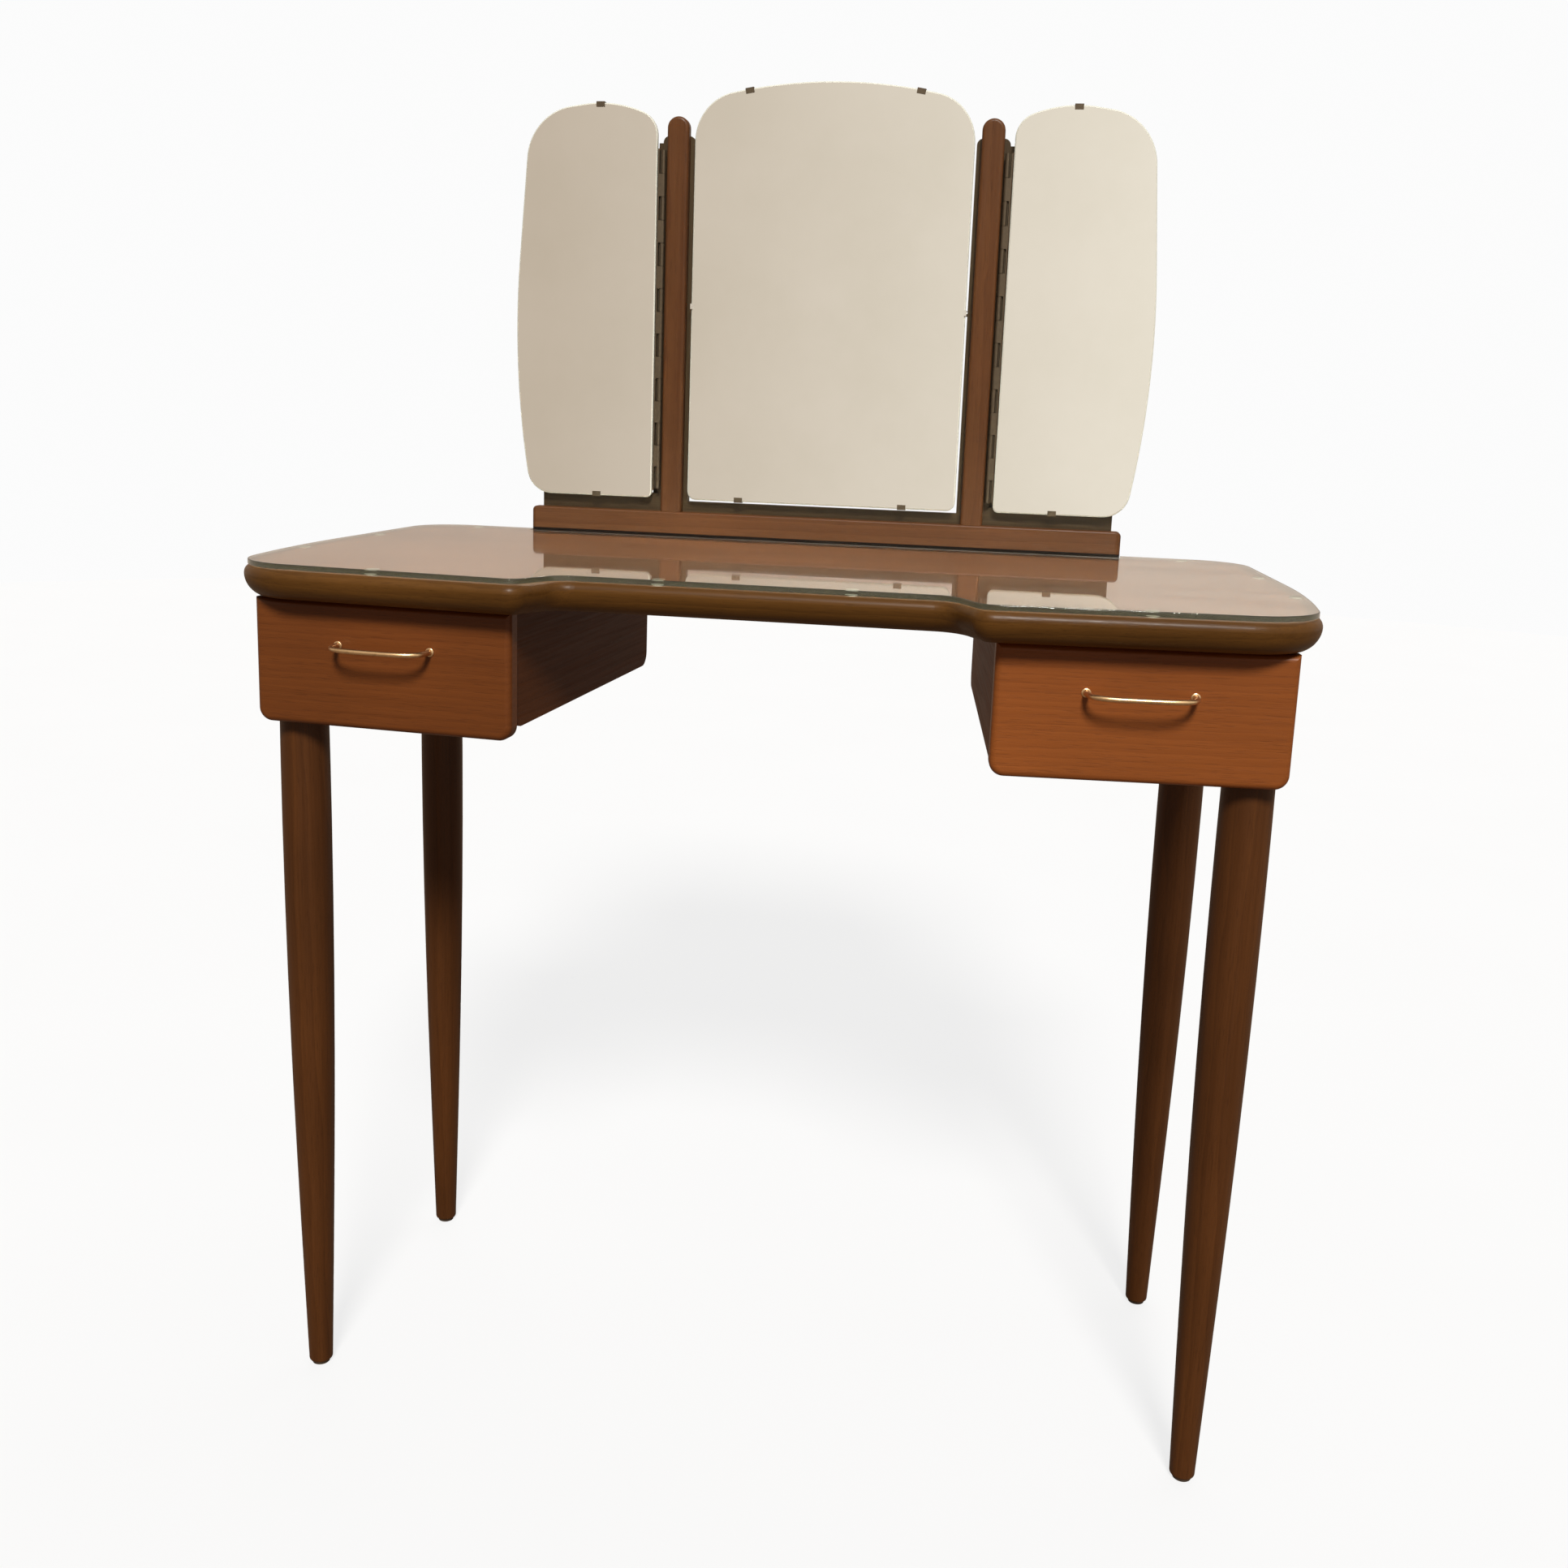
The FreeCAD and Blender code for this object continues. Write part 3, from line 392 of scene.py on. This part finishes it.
def timber(name, dark, light, turn=ALONG_X, gloss=0.38, ring_pitch=0.009, contrast=0.75, coat=0.03,
           shine=0.2, dark_below=None, stain_edge=0.0):
    """Lacquered wood whose grain runs along the turned X axis: growth rings cut lengthwise, fine fibres,
    short dark pores, slow changes of shade, edges rubbed a little lighter, and below a given height
    a painted shadow."""
    g = Finish(name)
    grain = g.node("Mapping", Vector=g.where, Rotation=turn).outputs["Vector"]
    heart = g.node("Mapping", Vector=grain, Location=(0.0, 0.085, 0.04), Rotation=(0.0, 0.045, 0.03),
                   Scale=(0.16, 1.0, 1.0)).outputs["Vector"]
    rings = g.node("TexWave", {"wave_type": "RINGS", "rings_direction": "X", "wave_profile": "SAW"},
                   Vector=heart, Scale=FULL_TURN / (20 * ring_pitch), Distortion=5.0, Detail=3.0,
                   Detail_Scale=0.9, Detail_Roughness=0.55).outputs["Fac"]
    fibre = g.noise(grain, stretch=(9.0, 620.0, 620.0), detail=5.0, roughness=0.62)
    streak = g.noise(grain, stretch=(2.2, 150.0, 150.0), detail=3.0)
    pore = g.noise(grain, stretch=(60.0, 1500.0, 1500.0), detail=1.0)
    cloud = g.noise(grain, scale=5.5)
    mean_shade, reach = 0.545, 0.24 / contrast
    shade = g.weighted((rings, 0.22), (fibre, 0.45), (streak, 0.42))
    body = g.mix(g.span(shade, mean_shade - reach, mean_shade + reach), dark, light)
    dash = g.span(pore, 0.60, 0.68)
    body = g.mix(g.math("MULTIPLY", dash, 0.30), body, scaled(dark, 0.55))
    tone = g.node("HueSaturation", Value=g.span(cloud, 0.3, 0.7, new_low=0.86, new_high=1.14),
                  Color=body).outputs["Color"]
    tone = g.mix(rubbed_edges(g), tone, scaled(light, 1.5))
    # Painted shadow: below the given height the wood is darkened to a tenth of its late wood's colour.
    if dark_below is not None:
        height = g.node("SeparateXYZ", Vector=g.where).outputs["Z"]
        clean = g.span(height, dark_below - stain_edge / 2, dark_below + stain_edge / 2)
        tone = g.mix(clean, scaled(dark, 0.10), tone)
    g.surface(Base_Color=tone, Roughness=g.span(fibre, 0.3, 0.7, new_low=gloss - 0.07, new_high=gloss + 0.09),
              Coat_Weight=coat, Coat_Roughness=0.22, IOR=1.48, Specular_IOR_Level=shine)
    relief = g.math("SUBTRACT", g.math("MULTIPLY", fibre, 0.5), g.math("MULTIPLY", dash, 0.6))
    g.bump(relief, strength=0.22, distance=0.35 * MM)
    return g.material


def rubbed_edges(g):
    """How worn a point is, from 0 to 1: most where a rounded normal leaves the face's own, in patches."""
    facing = g.node("VectorMath", {"operation": "DOT_PRODUCT"})
    g.put(facing, 0, g.node("Bevel", {"samples": 4}, Radius=1.6 * MM).outputs["Normal"])
    g.put(facing, 1, g.node("NewGeometry").outputs["Normal"])
    edge = g.span(facing.outputs["Value"], 0.80, 0.99, new_low=1.0, new_high=0.0)
    patches = g.span(g.noise(g.where, scale=34.0, detail=3.0), 0.35, 0.6, new_low=0.25)
    return g.math("MULTIPLY", g.math("MULTIPLY", edge, 0.38), patches)


def metal(name, bright, dull, gloss, spots=0.35, metallic=1.0):
    """Metal with fine brushing and dull patches where it has tarnished."""
    g = Finish(name)
    tarnish = g.span(g.noise(g.where, scale=260.0, detail=4.0, roughness=0.6), 0.42, 0.72, new_high=spots)
    brush = g.noise(g.where, stretch=(160.0, 2600.0, 2600.0), detail=3.0)
    wear = g.math("ADD", tarnish, brush)
    g.surface(Base_Color=g.mix(tarnish, bright, dull), Metallic=metallic,
              Roughness=g.span(wear, 0.3, 1.2, new_low=gloss, new_high=gloss + 0.22))
    g.bump(brush, strength=0.12, distance=0.08 * MM)
    return g.material


def silvering():
    """Silvered glass: a near perfect reflector, with a slow ripple and a breath of haze."""
    g = Finish("silvered_glass")
    haze = g.noise(g.where, scale=9.0, detail=4.0, roughness=0.6)
    g.surface(Base_Color=g.mix(g.span(haze, 0.35, 0.7), (0.90, 0.88, 0.84), (0.86, 0.84, 0.79)),
              Roughness=g.span(haze, 0.3, 0.75, new_low=0.012, new_high=0.05), Metallic=1.0)
    g.bump(g.noise(g.where, scale=3.0, detail=1.0), strength=0.02, distance=1.0 * MM)
    return g.material


def ground_edge():
    """The ground and half-polished edge of the mirrors: milky, pale green glass with fine grinding lines."""
    g = Finish("ground_glass_edge")
    grind = g.noise(g.where, scale=900.0, detail=3.0)
    g.surface(Base_Color=g.mix(grind, (0.52, 0.52, 0.44), (0.74, 0.73, 0.64)), IOR=1.52,
              Roughness=g.span(grind, 0.3, 0.7, new_low=0.16, new_high=0.38),
              Coat_Weight=0.4, Coat_Roughness=0.1)
    g.bump(grind, strength=0.15, distance=0.05 * MM)
    return g.material


def mirror_paint():
    """The protective paint on the back of the mirrors."""
    g = Finish("mirror_back_paint")
    speckle = g.noise(g.where, scale=320.0, detail=4.0, roughness=0.65)
    g.surface(Base_Color=g.mix(speckle, (0.16, 0.12, 0.09), (0.25, 0.19, 0.14)),
              Roughness=g.span(speckle, 0.3, 0.7, new_low=0.5, new_high=0.72))
    g.bump(speckle, strength=0.2, distance=0.1 * MM)
    return g.material


def clear_glass(depth, veil):
    """The sheet on the top: clear, green through its edge, with faint wiping marks. It casts a thin shadow."""
    g = Finish("table_glass")
    wipe = g.noise(g.where, stretch=(6.0, 22.0, 6.0), detail=4.0, roughness=0.6)
    g.surface(Base_Color=(0.95, 0.98, 0.94, 1.0), IOR=1.5, Transmission_Weight=1.0,
              Roughness=g.span(wipe, 0.35, 0.75, new_high=0.06),
              Sheen_Weight=0.10, Sheen_Roughness=0.35, Sheen_Tint=(*veil, 1.0))
    passes = g.node("BsdfTransparent", Color=(0.90, 0.93, 0.88, 1.0)).outputs[0]
    in_shadow = g.node("LightPath").outputs["Is Shadow Ray"]
    blend = g.node("MixShader")
    for index, value in enumerate((in_shadow, g.shader.outputs[0], passes)):
        g.put(blend, index, value)
    inside = g.node("VolumeAbsorption", Color=(*depth, 1.0), Density=14.0)
    output = next(node for node in g.tree.nodes if node.type == "OUTPUT_MATERIAL")
    g.put(output, "Surface", blend.outputs[0])
    g.put(output, "Volume", inside.outputs["Volume"])
    return g.material


def moulded(name, fresh, scuffed):
    """Moulded plastic with a fine eggshell surface, scuffed paler in places."""
    g = Finish(name)
    grit = g.noise(g.where, scale=1200.0)
    scuff = g.span(g.noise(g.where, scale=90.0, detail=3.0), 0.5, 0.8, new_high=0.6)
    g.surface(Base_Color=g.mix(scuff, fresh, scuffed),
              Roughness=g.span(grit, 0.3, 0.7, new_low=0.45, new_high=0.62))
    g.bump(grit, strength=0.2, distance=0.05 * MM)
    return g.material


def dress(material, *nodes):
    """Gives CAD nodes a finish."""
    for node in nodes:
        slots = frame["nodes"][node].data.materials
        slots.clear()
        slots.append(material)


def piece_done(piece, body, slot, *replaced):
    """Sets what a finished piece rides on and the CAD nodes that it stands for; the finish slot is not used.
    """
    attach(piece, body)
    if replaced:
        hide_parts(*replaced)


# ---------------------------------------------------------------- operators

class LookOperator(bpy.types.Operator):
    """What every step shares"""
    bl_options = {"REGISTER"}


class VANITY_OT_timber(LookOperator):
    """Gives the boards, moulding, mirror frame, legs and drawer boxes their wood finishes"""
    bl_idname = "vanity.timber"
    bl_label = "Timber"

    def execute(self, context):
        colours = context.scene.vanity_colours
        sizes = context.scene.vanity_sizes
        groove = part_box("plinth")[0][2] + sizes.plinth_painted_shadow

        def wood(name, shades, **look):
            """Timber in one of the pairs of colours above."""
            dark, light = (tuple(getattr(colours, shades + end)) for end in ("_dark", "_light"))
            return timber(name, dark, light, **look)

        dress(wood("top_veneer", "top", gloss=0.34), "top_board")
        dress(wood("edge_moulding", "moulding", gloss=0.36, shine=0.14), "edge_moulding")
        # Painted shadow: the plinth is darkened below the top of its groove.
        dress(wood("plinth_wood", "post", dark_below=groove, stain_edge=sizes.stain_edge), "plinth")
        dress(wood("bead_wood", "post", turn=UPRIGHT), "left_bead", "right_bead")
        # Painted shade: the rail and stiles keep the darkness of their shade behind the mirrors.
        dress(wood("rail_wood", "frame", gloss=0.45), "mirror_rail")
        dress(wood("stile_wood", "frame", turn=UPRIGHT, gloss=0.45), "left_stile", "right_stile")
        dress(wood("leg_wood", "leg", turn=UPRIGHT, ring_pitch=0.012),
              *[side + end for side in SIDES for end in ("_front_leg", "_back_leg")])
        dress(wood("backing_ply", "backing", turn=UPRIGHT, gloss=0.6, coat=0.0),
              "centre_backing", "left_wing_backing", "right_wing_backing")
        dress(wood("hidden_wood", "inner", turn=ALONG_Y, gloss=0.62, coat=0.0), "runners", "cleats")
        for side, sign in SIDES.items():
            across = (0.0, 0.0, -sign * UNIT_TURN)
            lengthwise = (0.0, 0.0, -sign * UNIT_TURN + math.pi / 2)
            # Painted shade: the left unit's teak is darkened to a share of the right's.
            tone = colours.left_painted_shade if side == "left" else 1.0
            teak = [scaled(shade, tone) for shade in (colours.teak_dark, colours.teak_light)]
            # Painted shade: the case sides are darkened to a share of the drawer front's teak.
            shaded_teak = [scaled(shade, colours.case_painted_shade) for shade in teak]
            dress(timber(side + "_front_teak", *teak, turn=across, ring_pitch=0.006, contrast=0.55),
                  side + "_drawer_front")
            dress(timber(side + "_case_teak", *shaded_teak, turn=lengthwise, gloss=0.5, coat=0.0, shine=0.1),
                  side + "_case_inner_side", side + "_case_outer_side")
            dress(wood(side + "_drawer_wood", "inner", turn=lengthwise, gloss=0.6, coat=0.0),
                  side + "_drawer_box_sides", side + "_case_bottom")
            dress(wood(side + "_drawer_ends", "inner", turn=across, gloss=0.6, coat=0.0),
                  side + "_drawer_box_front", side + "_drawer_box_back", side + "_drawer_box_bottom",
                  side + "_case_back")
        return {"FINISHED"}


class VANITY_OT_metal_and_glass(LookOperator):
    """Gives the glass, hinges, clips, pivots, screws and glides their finishes"""
    bl_idname = "vanity.metal_and_glass"
    bl_label = "Metal and Glass"

    def execute(self, context):
        c = context.scene.vanity_fittings
        dress(clear_glass(c.glass_depth, c.glass_veil), "glass_top")
        dress(metal("bronzed_steel", c.bronze, c.bronze_dull, gloss=0.45, metallic=0.7),
              "centre_clips", "left_wing_clips", "right_wing_clips", "left_wing_hinge_leaf",
              "right_wing_hinge_leaf", "left_hinge_frame_leaf", "right_hinge_frame_leaf",
              "centre_pivot_brackets")
        dress(metal("bright_clip_steel", c.clip, c.clip_dull, gloss=0.2), "centre_side_clips")
        dress(metal("zinc_plate", c.zinc, c.zinc_dull, gloss=0.32),
              "pivot_pins", "plinth_screws", "cleat_screws", "tee_nuts", "leg_bolts",
              "left_handle_screws", "right_handle_screws")
        dress(moulded("glide_nylon", c.nylon, c.nylon_scuffed), "leg_glides")
        dress(moulded("bumper_plastic", c.bumper, c.bumper_scuffed), "glass_bumpers")
        return {"FINISHED"}


class VANITY_OT_mirrors(LookOperator):
    """Makes the three mirrors: silvered plates with a ground band round the front and painted backs"""
    bl_idname = "vanity.mirrors"
    bl_label = "Mirrors"

    def execute(self, context):
        sizes = context.scene.vanity_sizes
        finishes = [silvering(), ground_edge(), mirror_paint()]
        for node, body in (("centre_mirror", "centre_mirror"), ("left_wing_mirror", "left_wing"),
                           ("right_wing_mirror", "right_wing")):
            made = self.plate(node, sizes).piece(node + "_plate", finishes, sharp=math.radians(20))
            piece_done(made, body, "mirror", node)
        return {"FINISHED"}

    def plate(self, node, sizes):
        """Rings that follow the plate's rim, each set in and back by the next step of the edge's profile."""
        points = node_points(node)
        front, back = extent(points, (0, 1, 0))
        outline = convex_outline(points, count=400)
        inner = inwards(outline)
        arris, depth, soft = sizes.mirror_arris, sizes.mirror_arris_depth, sizes.mirror_edge_round
        profile = np.array([(arris, front), (0.25 * MM, front + depth), (0.0, front + 1.6 * depth),
                            (0.0, back - soft), (0.3 * soft, back - 0.3 * soft), (soft, back)])
        flat = outline[None] + profile[:, 0, None, None] * inner[None]
        behind = np.broadcast_to(profile[:, 1, None], flat.shape[:2])
        grid = np.stack([flat[..., 0], behind, flat[..., 1]], axis=-1)
        shell = Shell()
        shell.add(grid, finishes=[1] * (len(profile) - 1), cap_finishes=(0, 2))
        return shell


class VANITY_OT_handles(LookOperator):
    """Makes the two brass bow handles with their turned feet"""
    bl_idname = "vanity.handles"
    bl_label = "Handles"

    def execute(self, context):
        sizes = context.scene.vanity_sizes
        colours = context.scene.vanity_fittings
        brass = metal("worn_brass", colours.brass, colours.brass_dull, gloss=0.26, spots=0.5)
        for side in SIDES:
            out = np.asarray(SLIDES[side + "_drawer_slide"], dtype=float)
            made = self.bow(side + "_handle", out, sizes).piece(side + "_bow_handle", [brass])
            piece_done(made, side + "_drawer", "brass", side + "_handle")
        return {"FINISHED"}

    def bow(self, node, out, sizes):
        """A bar along half a superellipse |across/a|^n + |out/b|^n = 1, thicker towards its ends, and two
        turned feet."""
        points = node_points(node)
        up = np.array((0.0, 0.0, 1.0))
        along = np.cross(up, out)
        low, high = extent(points, along)
        face, front = extent(points, out)
        z = sum(extent(points, up)) / 2
        foot = sizes.handle_foot
        half = (high - low) / 2 - foot
        middle = (low + high) / 2
        reach = front - face - sizes.handle_middle
        turn = np.linspace(0.0, math.pi, 97)
        squareness = 3.6
        across = half * np.sign(np.cos(turn)) * np.abs(np.cos(turn)) ** (2 / squareness)
        ahead = reach * np.abs(np.sin(turn)) ** (2 / squareness)
        path = (middle + across)[:, None] * along + (face + ahead)[:, None] * out + z * up
        run = np.concatenate([[0.0], np.cumsum(np.linalg.norm(np.diff(path, axis=0), axis=1))])
        even = np.linspace(0.0, run[-1], 121)
        path = np.stack([np.interp(even, run, path[:, k]) for k in range(3)], axis=-1)
        swelling = np.abs(even / run[-1] * 2 - 1) ** 2.2
        radii = sizes.handle_middle + (sizes.handle_end - sizes.handle_middle) * swelling
        shell = Shell()
        shell.add(tube(path, radii, up))
        profile = np.array([(0.55, 0.0), (1.0, 0.0), (1.0, 0.10), (0.97, 0.18), (0.90, 0.24), (0.78, 0.27),
                            (0.70, 0.30), (0.66, 0.38), (0.60, 0.44), (0.40, 0.46)]) * foot
        for end in (-half, half):
            shell.add(lathe(profile, (middle + end) * along + face * out + z * up, out))
        return shell


class VANITY_OT_rear_screws(LookOperator):
    """Makes the slotted screw heads that show on the back of the mirror frame"""
    bl_idname = "vanity.rear_screws"
    bl_label = "Rear Screws"

    def execute(self, context):
        sizes = context.scene.vanity_sizes
        colours = context.scene.vanity_fittings
        steel = metal("old_screw_steel", colours.old_steel, colours.old_steel_dull, gloss=0.34, spots=0.6)
        shell = Shell()
        angles = iter(np.random.default_rng(7).uniform(0, math.pi, 40))
        rail_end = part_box("mirror_rail")[1]
        plinth_low, plinth_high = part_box("plinth")
        screw_line = (plinth_low[2] + plinth_high[2]) / 2
        for share in np.linspace(-0.86, 0.86, 5):
            shell.add(self.head((share * rail_end[0], rail_end[1], screw_line), sizes, next(angles)))
        for side in SIDES:
            stile_low, stile_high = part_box(side + "_stile")
            middle = (stile_low[0] + stile_high[0]) / 2
            for share in (0.09, 0.36, 0.68, 0.93):
                z = stile_low[2] + share * (stile_high[2] - stile_low[2])
                shell.add(self.head((middle, stile_high[1], z), sizes, next(angles)))
        made = shell.piece("rear_screw_heads", [steel], sharp=math.radians(30))
        piece_done(made, "table", "steel")
        return {"FINISHED"}

    def head(self, centre, sizes, turn):
        """A shallow dome, rise * sqrt(1 - 0.8 * rho^2), with a slot cut where |y| is small, facing +Y."""
        half_slot, slot_slope, slot_depth = 0.17, 0.05, 0.55
        rho = np.concatenate([[0.04], np.linspace(0.1, 1.0, 14), [1.0]])
        theta = np.linspace(0, FULL_TURN, 72, endpoint=False)
        x = rho[:, None] * np.cos(theta)
        y = rho[:, None] * np.sin(theta)
        dome = sizes.screw_rise * np.sqrt(1 - 0.8 * rho[:, None] ** 2) * np.ones_like(x)
        slot = np.clip((half_slot - np.abs(y)) / slot_slope, 0, 1) * slot_depth * sizes.screw_rise
        height = np.maximum(dome - slot, 0.02 * MM)
        height[-1] = -0.05 * MM
        c, s = math.cos(turn), math.sin(turn)
        radius = sizes.screw_head
        return np.stack([centre[0] + radius * (c * x - s * y), centre[1] + height,
                         centre[2] + radius * (s * x + c * y)], axis=-1)


class VANITY_OT_stage(LookOperator):
    """Makes the floor, the soft light and the camera"""
    bl_idname = "vanity.stage"
    bl_label = "Stage"

    def execute(self, context):
        stage = context.scene.vanity_stage
        self.camera(context, stage)
        self.floor(stage)
        self.lamp(context, stage, "key", shines=True)
        self.lamp(context, stage, "fill", shines=False)
        self.world(context, stage)
        context.scene.view_settings.view_transform = "Standard"
        return {"FINISHED"}

    def camera(self, context, stage):
        """A camera whose axes are turned by yaw, then pitch, then roll."""
        data = bpy.data.cameras.new("camera")
        data.sensor_width = 36.0
        data.lens = stage.lens
        data.shift_x = stage.shift_across
        data.shift_y = stage.shift_up
        data.clip_start = 0.02
        made = bpy.data.objects.new("camera", data)
        turn = (Matrix.Rotation(stage.yaw, 4, "Z") @ Matrix.Rotation(math.pi / 2 - stage.pitch, 4, "X")
                @ Matrix.Rotation(stage.roll, 4, "Z"))
        made.matrix_world = Matrix.Translation(Vector(stage.eye)) @ turn
        context.scene.collection.objects.link(made)
        context.scene.camera = made

    def floor(self, stage):
        """A pale matt disc under the object: rings whose height is nought."""
        g = Finish("studio_floor")
        seen = g.node("LightPath").outputs["Is Camera Ray"]
        pale = g.mix(g.noise(g.where, scale=3.0, detail=3.0), (0.130, 0.130, 0.130), (0.140, 0.140, 0.140))
        g.surface(Base_Color=g.mix(seen, stage.bounce, pale), Roughness=0.9, Specular_IOR_Level=0.1,
                  Emission_Color=(*stage.backdrop, 1.0),
                  Emission_Strength=g.math("MULTIPLY", seen, stage.glow))
        turn = np.linspace(0, FULL_TURN, 96, endpoint=False)
        rings = np.array([0.2, 1.0]) * stage.floor_radius
        flat = rings[:, None, None] * np.stack([np.cos(turn), np.sin(turn), np.zeros_like(turn)], axis=-1)
        shell = Shell()
        shell.add(flat, caps=False)
        shell.faces.append(list(range(len(turn))))
        shell.finishes.append(0)
        made = shell.piece("floor", [g.material])

    def lamp(self, context, stage, name, shines):
        """A soft distant light, at a height above the horizon and a turn to the right of the front."""
        side, height = (getattr(stage, name + part) for part in ("_side", "_height"))
        data = bpy.data.lights.new(name, "SUN")
        data.energy = getattr(stage, name + "_strength")
        data.angle = getattr(stage, name + "_size")
        data.color = getattr(stage, name + "_colour")
        made = bpy.data.objects.new(name, data)
        level = math.cos(height)
        back = Vector((math.sin(side) * level, -math.cos(side) * level, math.sin(height)))
        made.rotation_mode = "QUATERNION"
        made.rotation_quaternion = (-back).to_track_quat("-Z", "Y")
        made.visible_glossy = shines
        context.scene.collection.objects.link(made)

    def world(self, context, stage):
        """A pale backdrop, a warm room in what polished surfaces reflect, and even light on all else."""
        world = bpy.data.worlds.new("studio")
        world.use_nodes = True
        g = Graph(world.node_tree)
        g.tree.nodes.clear()
        ray = g.node("LightPath").outputs
        towards = g.node("SeparateXYZ", Vector=g.node("TexCoord").outputs["Generated"]).outputs
        ambient = g.mix(g.span(towards["Z"], 0.0, 0.9), stage.ambient_low, stage.ambient_high)
        room = g.mix(g.span(towards["X"], -0.30, 0.10), stage.room_left, stage.room_right)
        room = g.mix(g.span(towards["Y"], -0.2, 0.2), room, stage.wall)
        seen = g.mix(ray["Is Glossy Ray"], ambient, room)
        seen = g.mix(ray["Is Camera Ray"], seen, stage.backdrop)
        g.node("OutputWorld", Surface=g.node("Background", Color=seen).outputs[0])
        context.scene.world = world


class VANITY_PT_panel(bpy.types.Panel):
    """Lists the steps in the 3D view's sidebar"""
    bl_idname = "VANITY_PT_panel"
    bl_label = "Dressing Table"
    bl_space_type = "VIEW_3D"
    bl_region_type = "UI"
    bl_category = "Dressing Table"

    def draw(self, context):
        for step in STEPS:
            self.layout.operator(step.bl_idname)
        for group in GROUPS:
            settings = getattr(context.scene, group)
            column = self.layout.column()
            for key in settings.bl_rna.properties.keys():
                if key not in ("rna_type", "name"):
                    column.prop(settings, key)


STEPS = (VANITY_OT_stage, VANITY_OT_timber, VANITY_OT_metal_and_glass, VANITY_OT_mirrors, VANITY_OT_handles,
         VANITY_OT_rear_screws)
GROUPS = {"vanity_colours": TimberColours, "vanity_fittings": FittingColours, "vanity_sizes": FittingSizes,
          "vanity_stage": StageSettings}


def register():
    for group in (*GROUPS.values(), *STEPS, VANITY_PT_panel):
        bpy.utils.register_class(group)
    for name, group in GROUPS.items():
        setattr(bpy.types.Scene, name, bpy.props.PointerProperty(type=group))


def unregister():
    for name in GROUPS:
        delattr(bpy.types.Scene, name)
    for group in (VANITY_PT_panel, *reversed(STEPS), *reversed(GROUPS.values())):
        bpy.utils.unregister_class(group)


def main():
    register()
    bpy.ops.vanity.stage()
    bpy.ops.vanity.timber()
    bpy.ops.vanity.metal_and_glass()
    bpy.ops.vanity.mirrors()
    bpy.ops.vanity.handles()
    bpy.ops.vanity.rear_screws()
    bpy.context.view_layer.update()


if __name__ == "__main__":
    main()
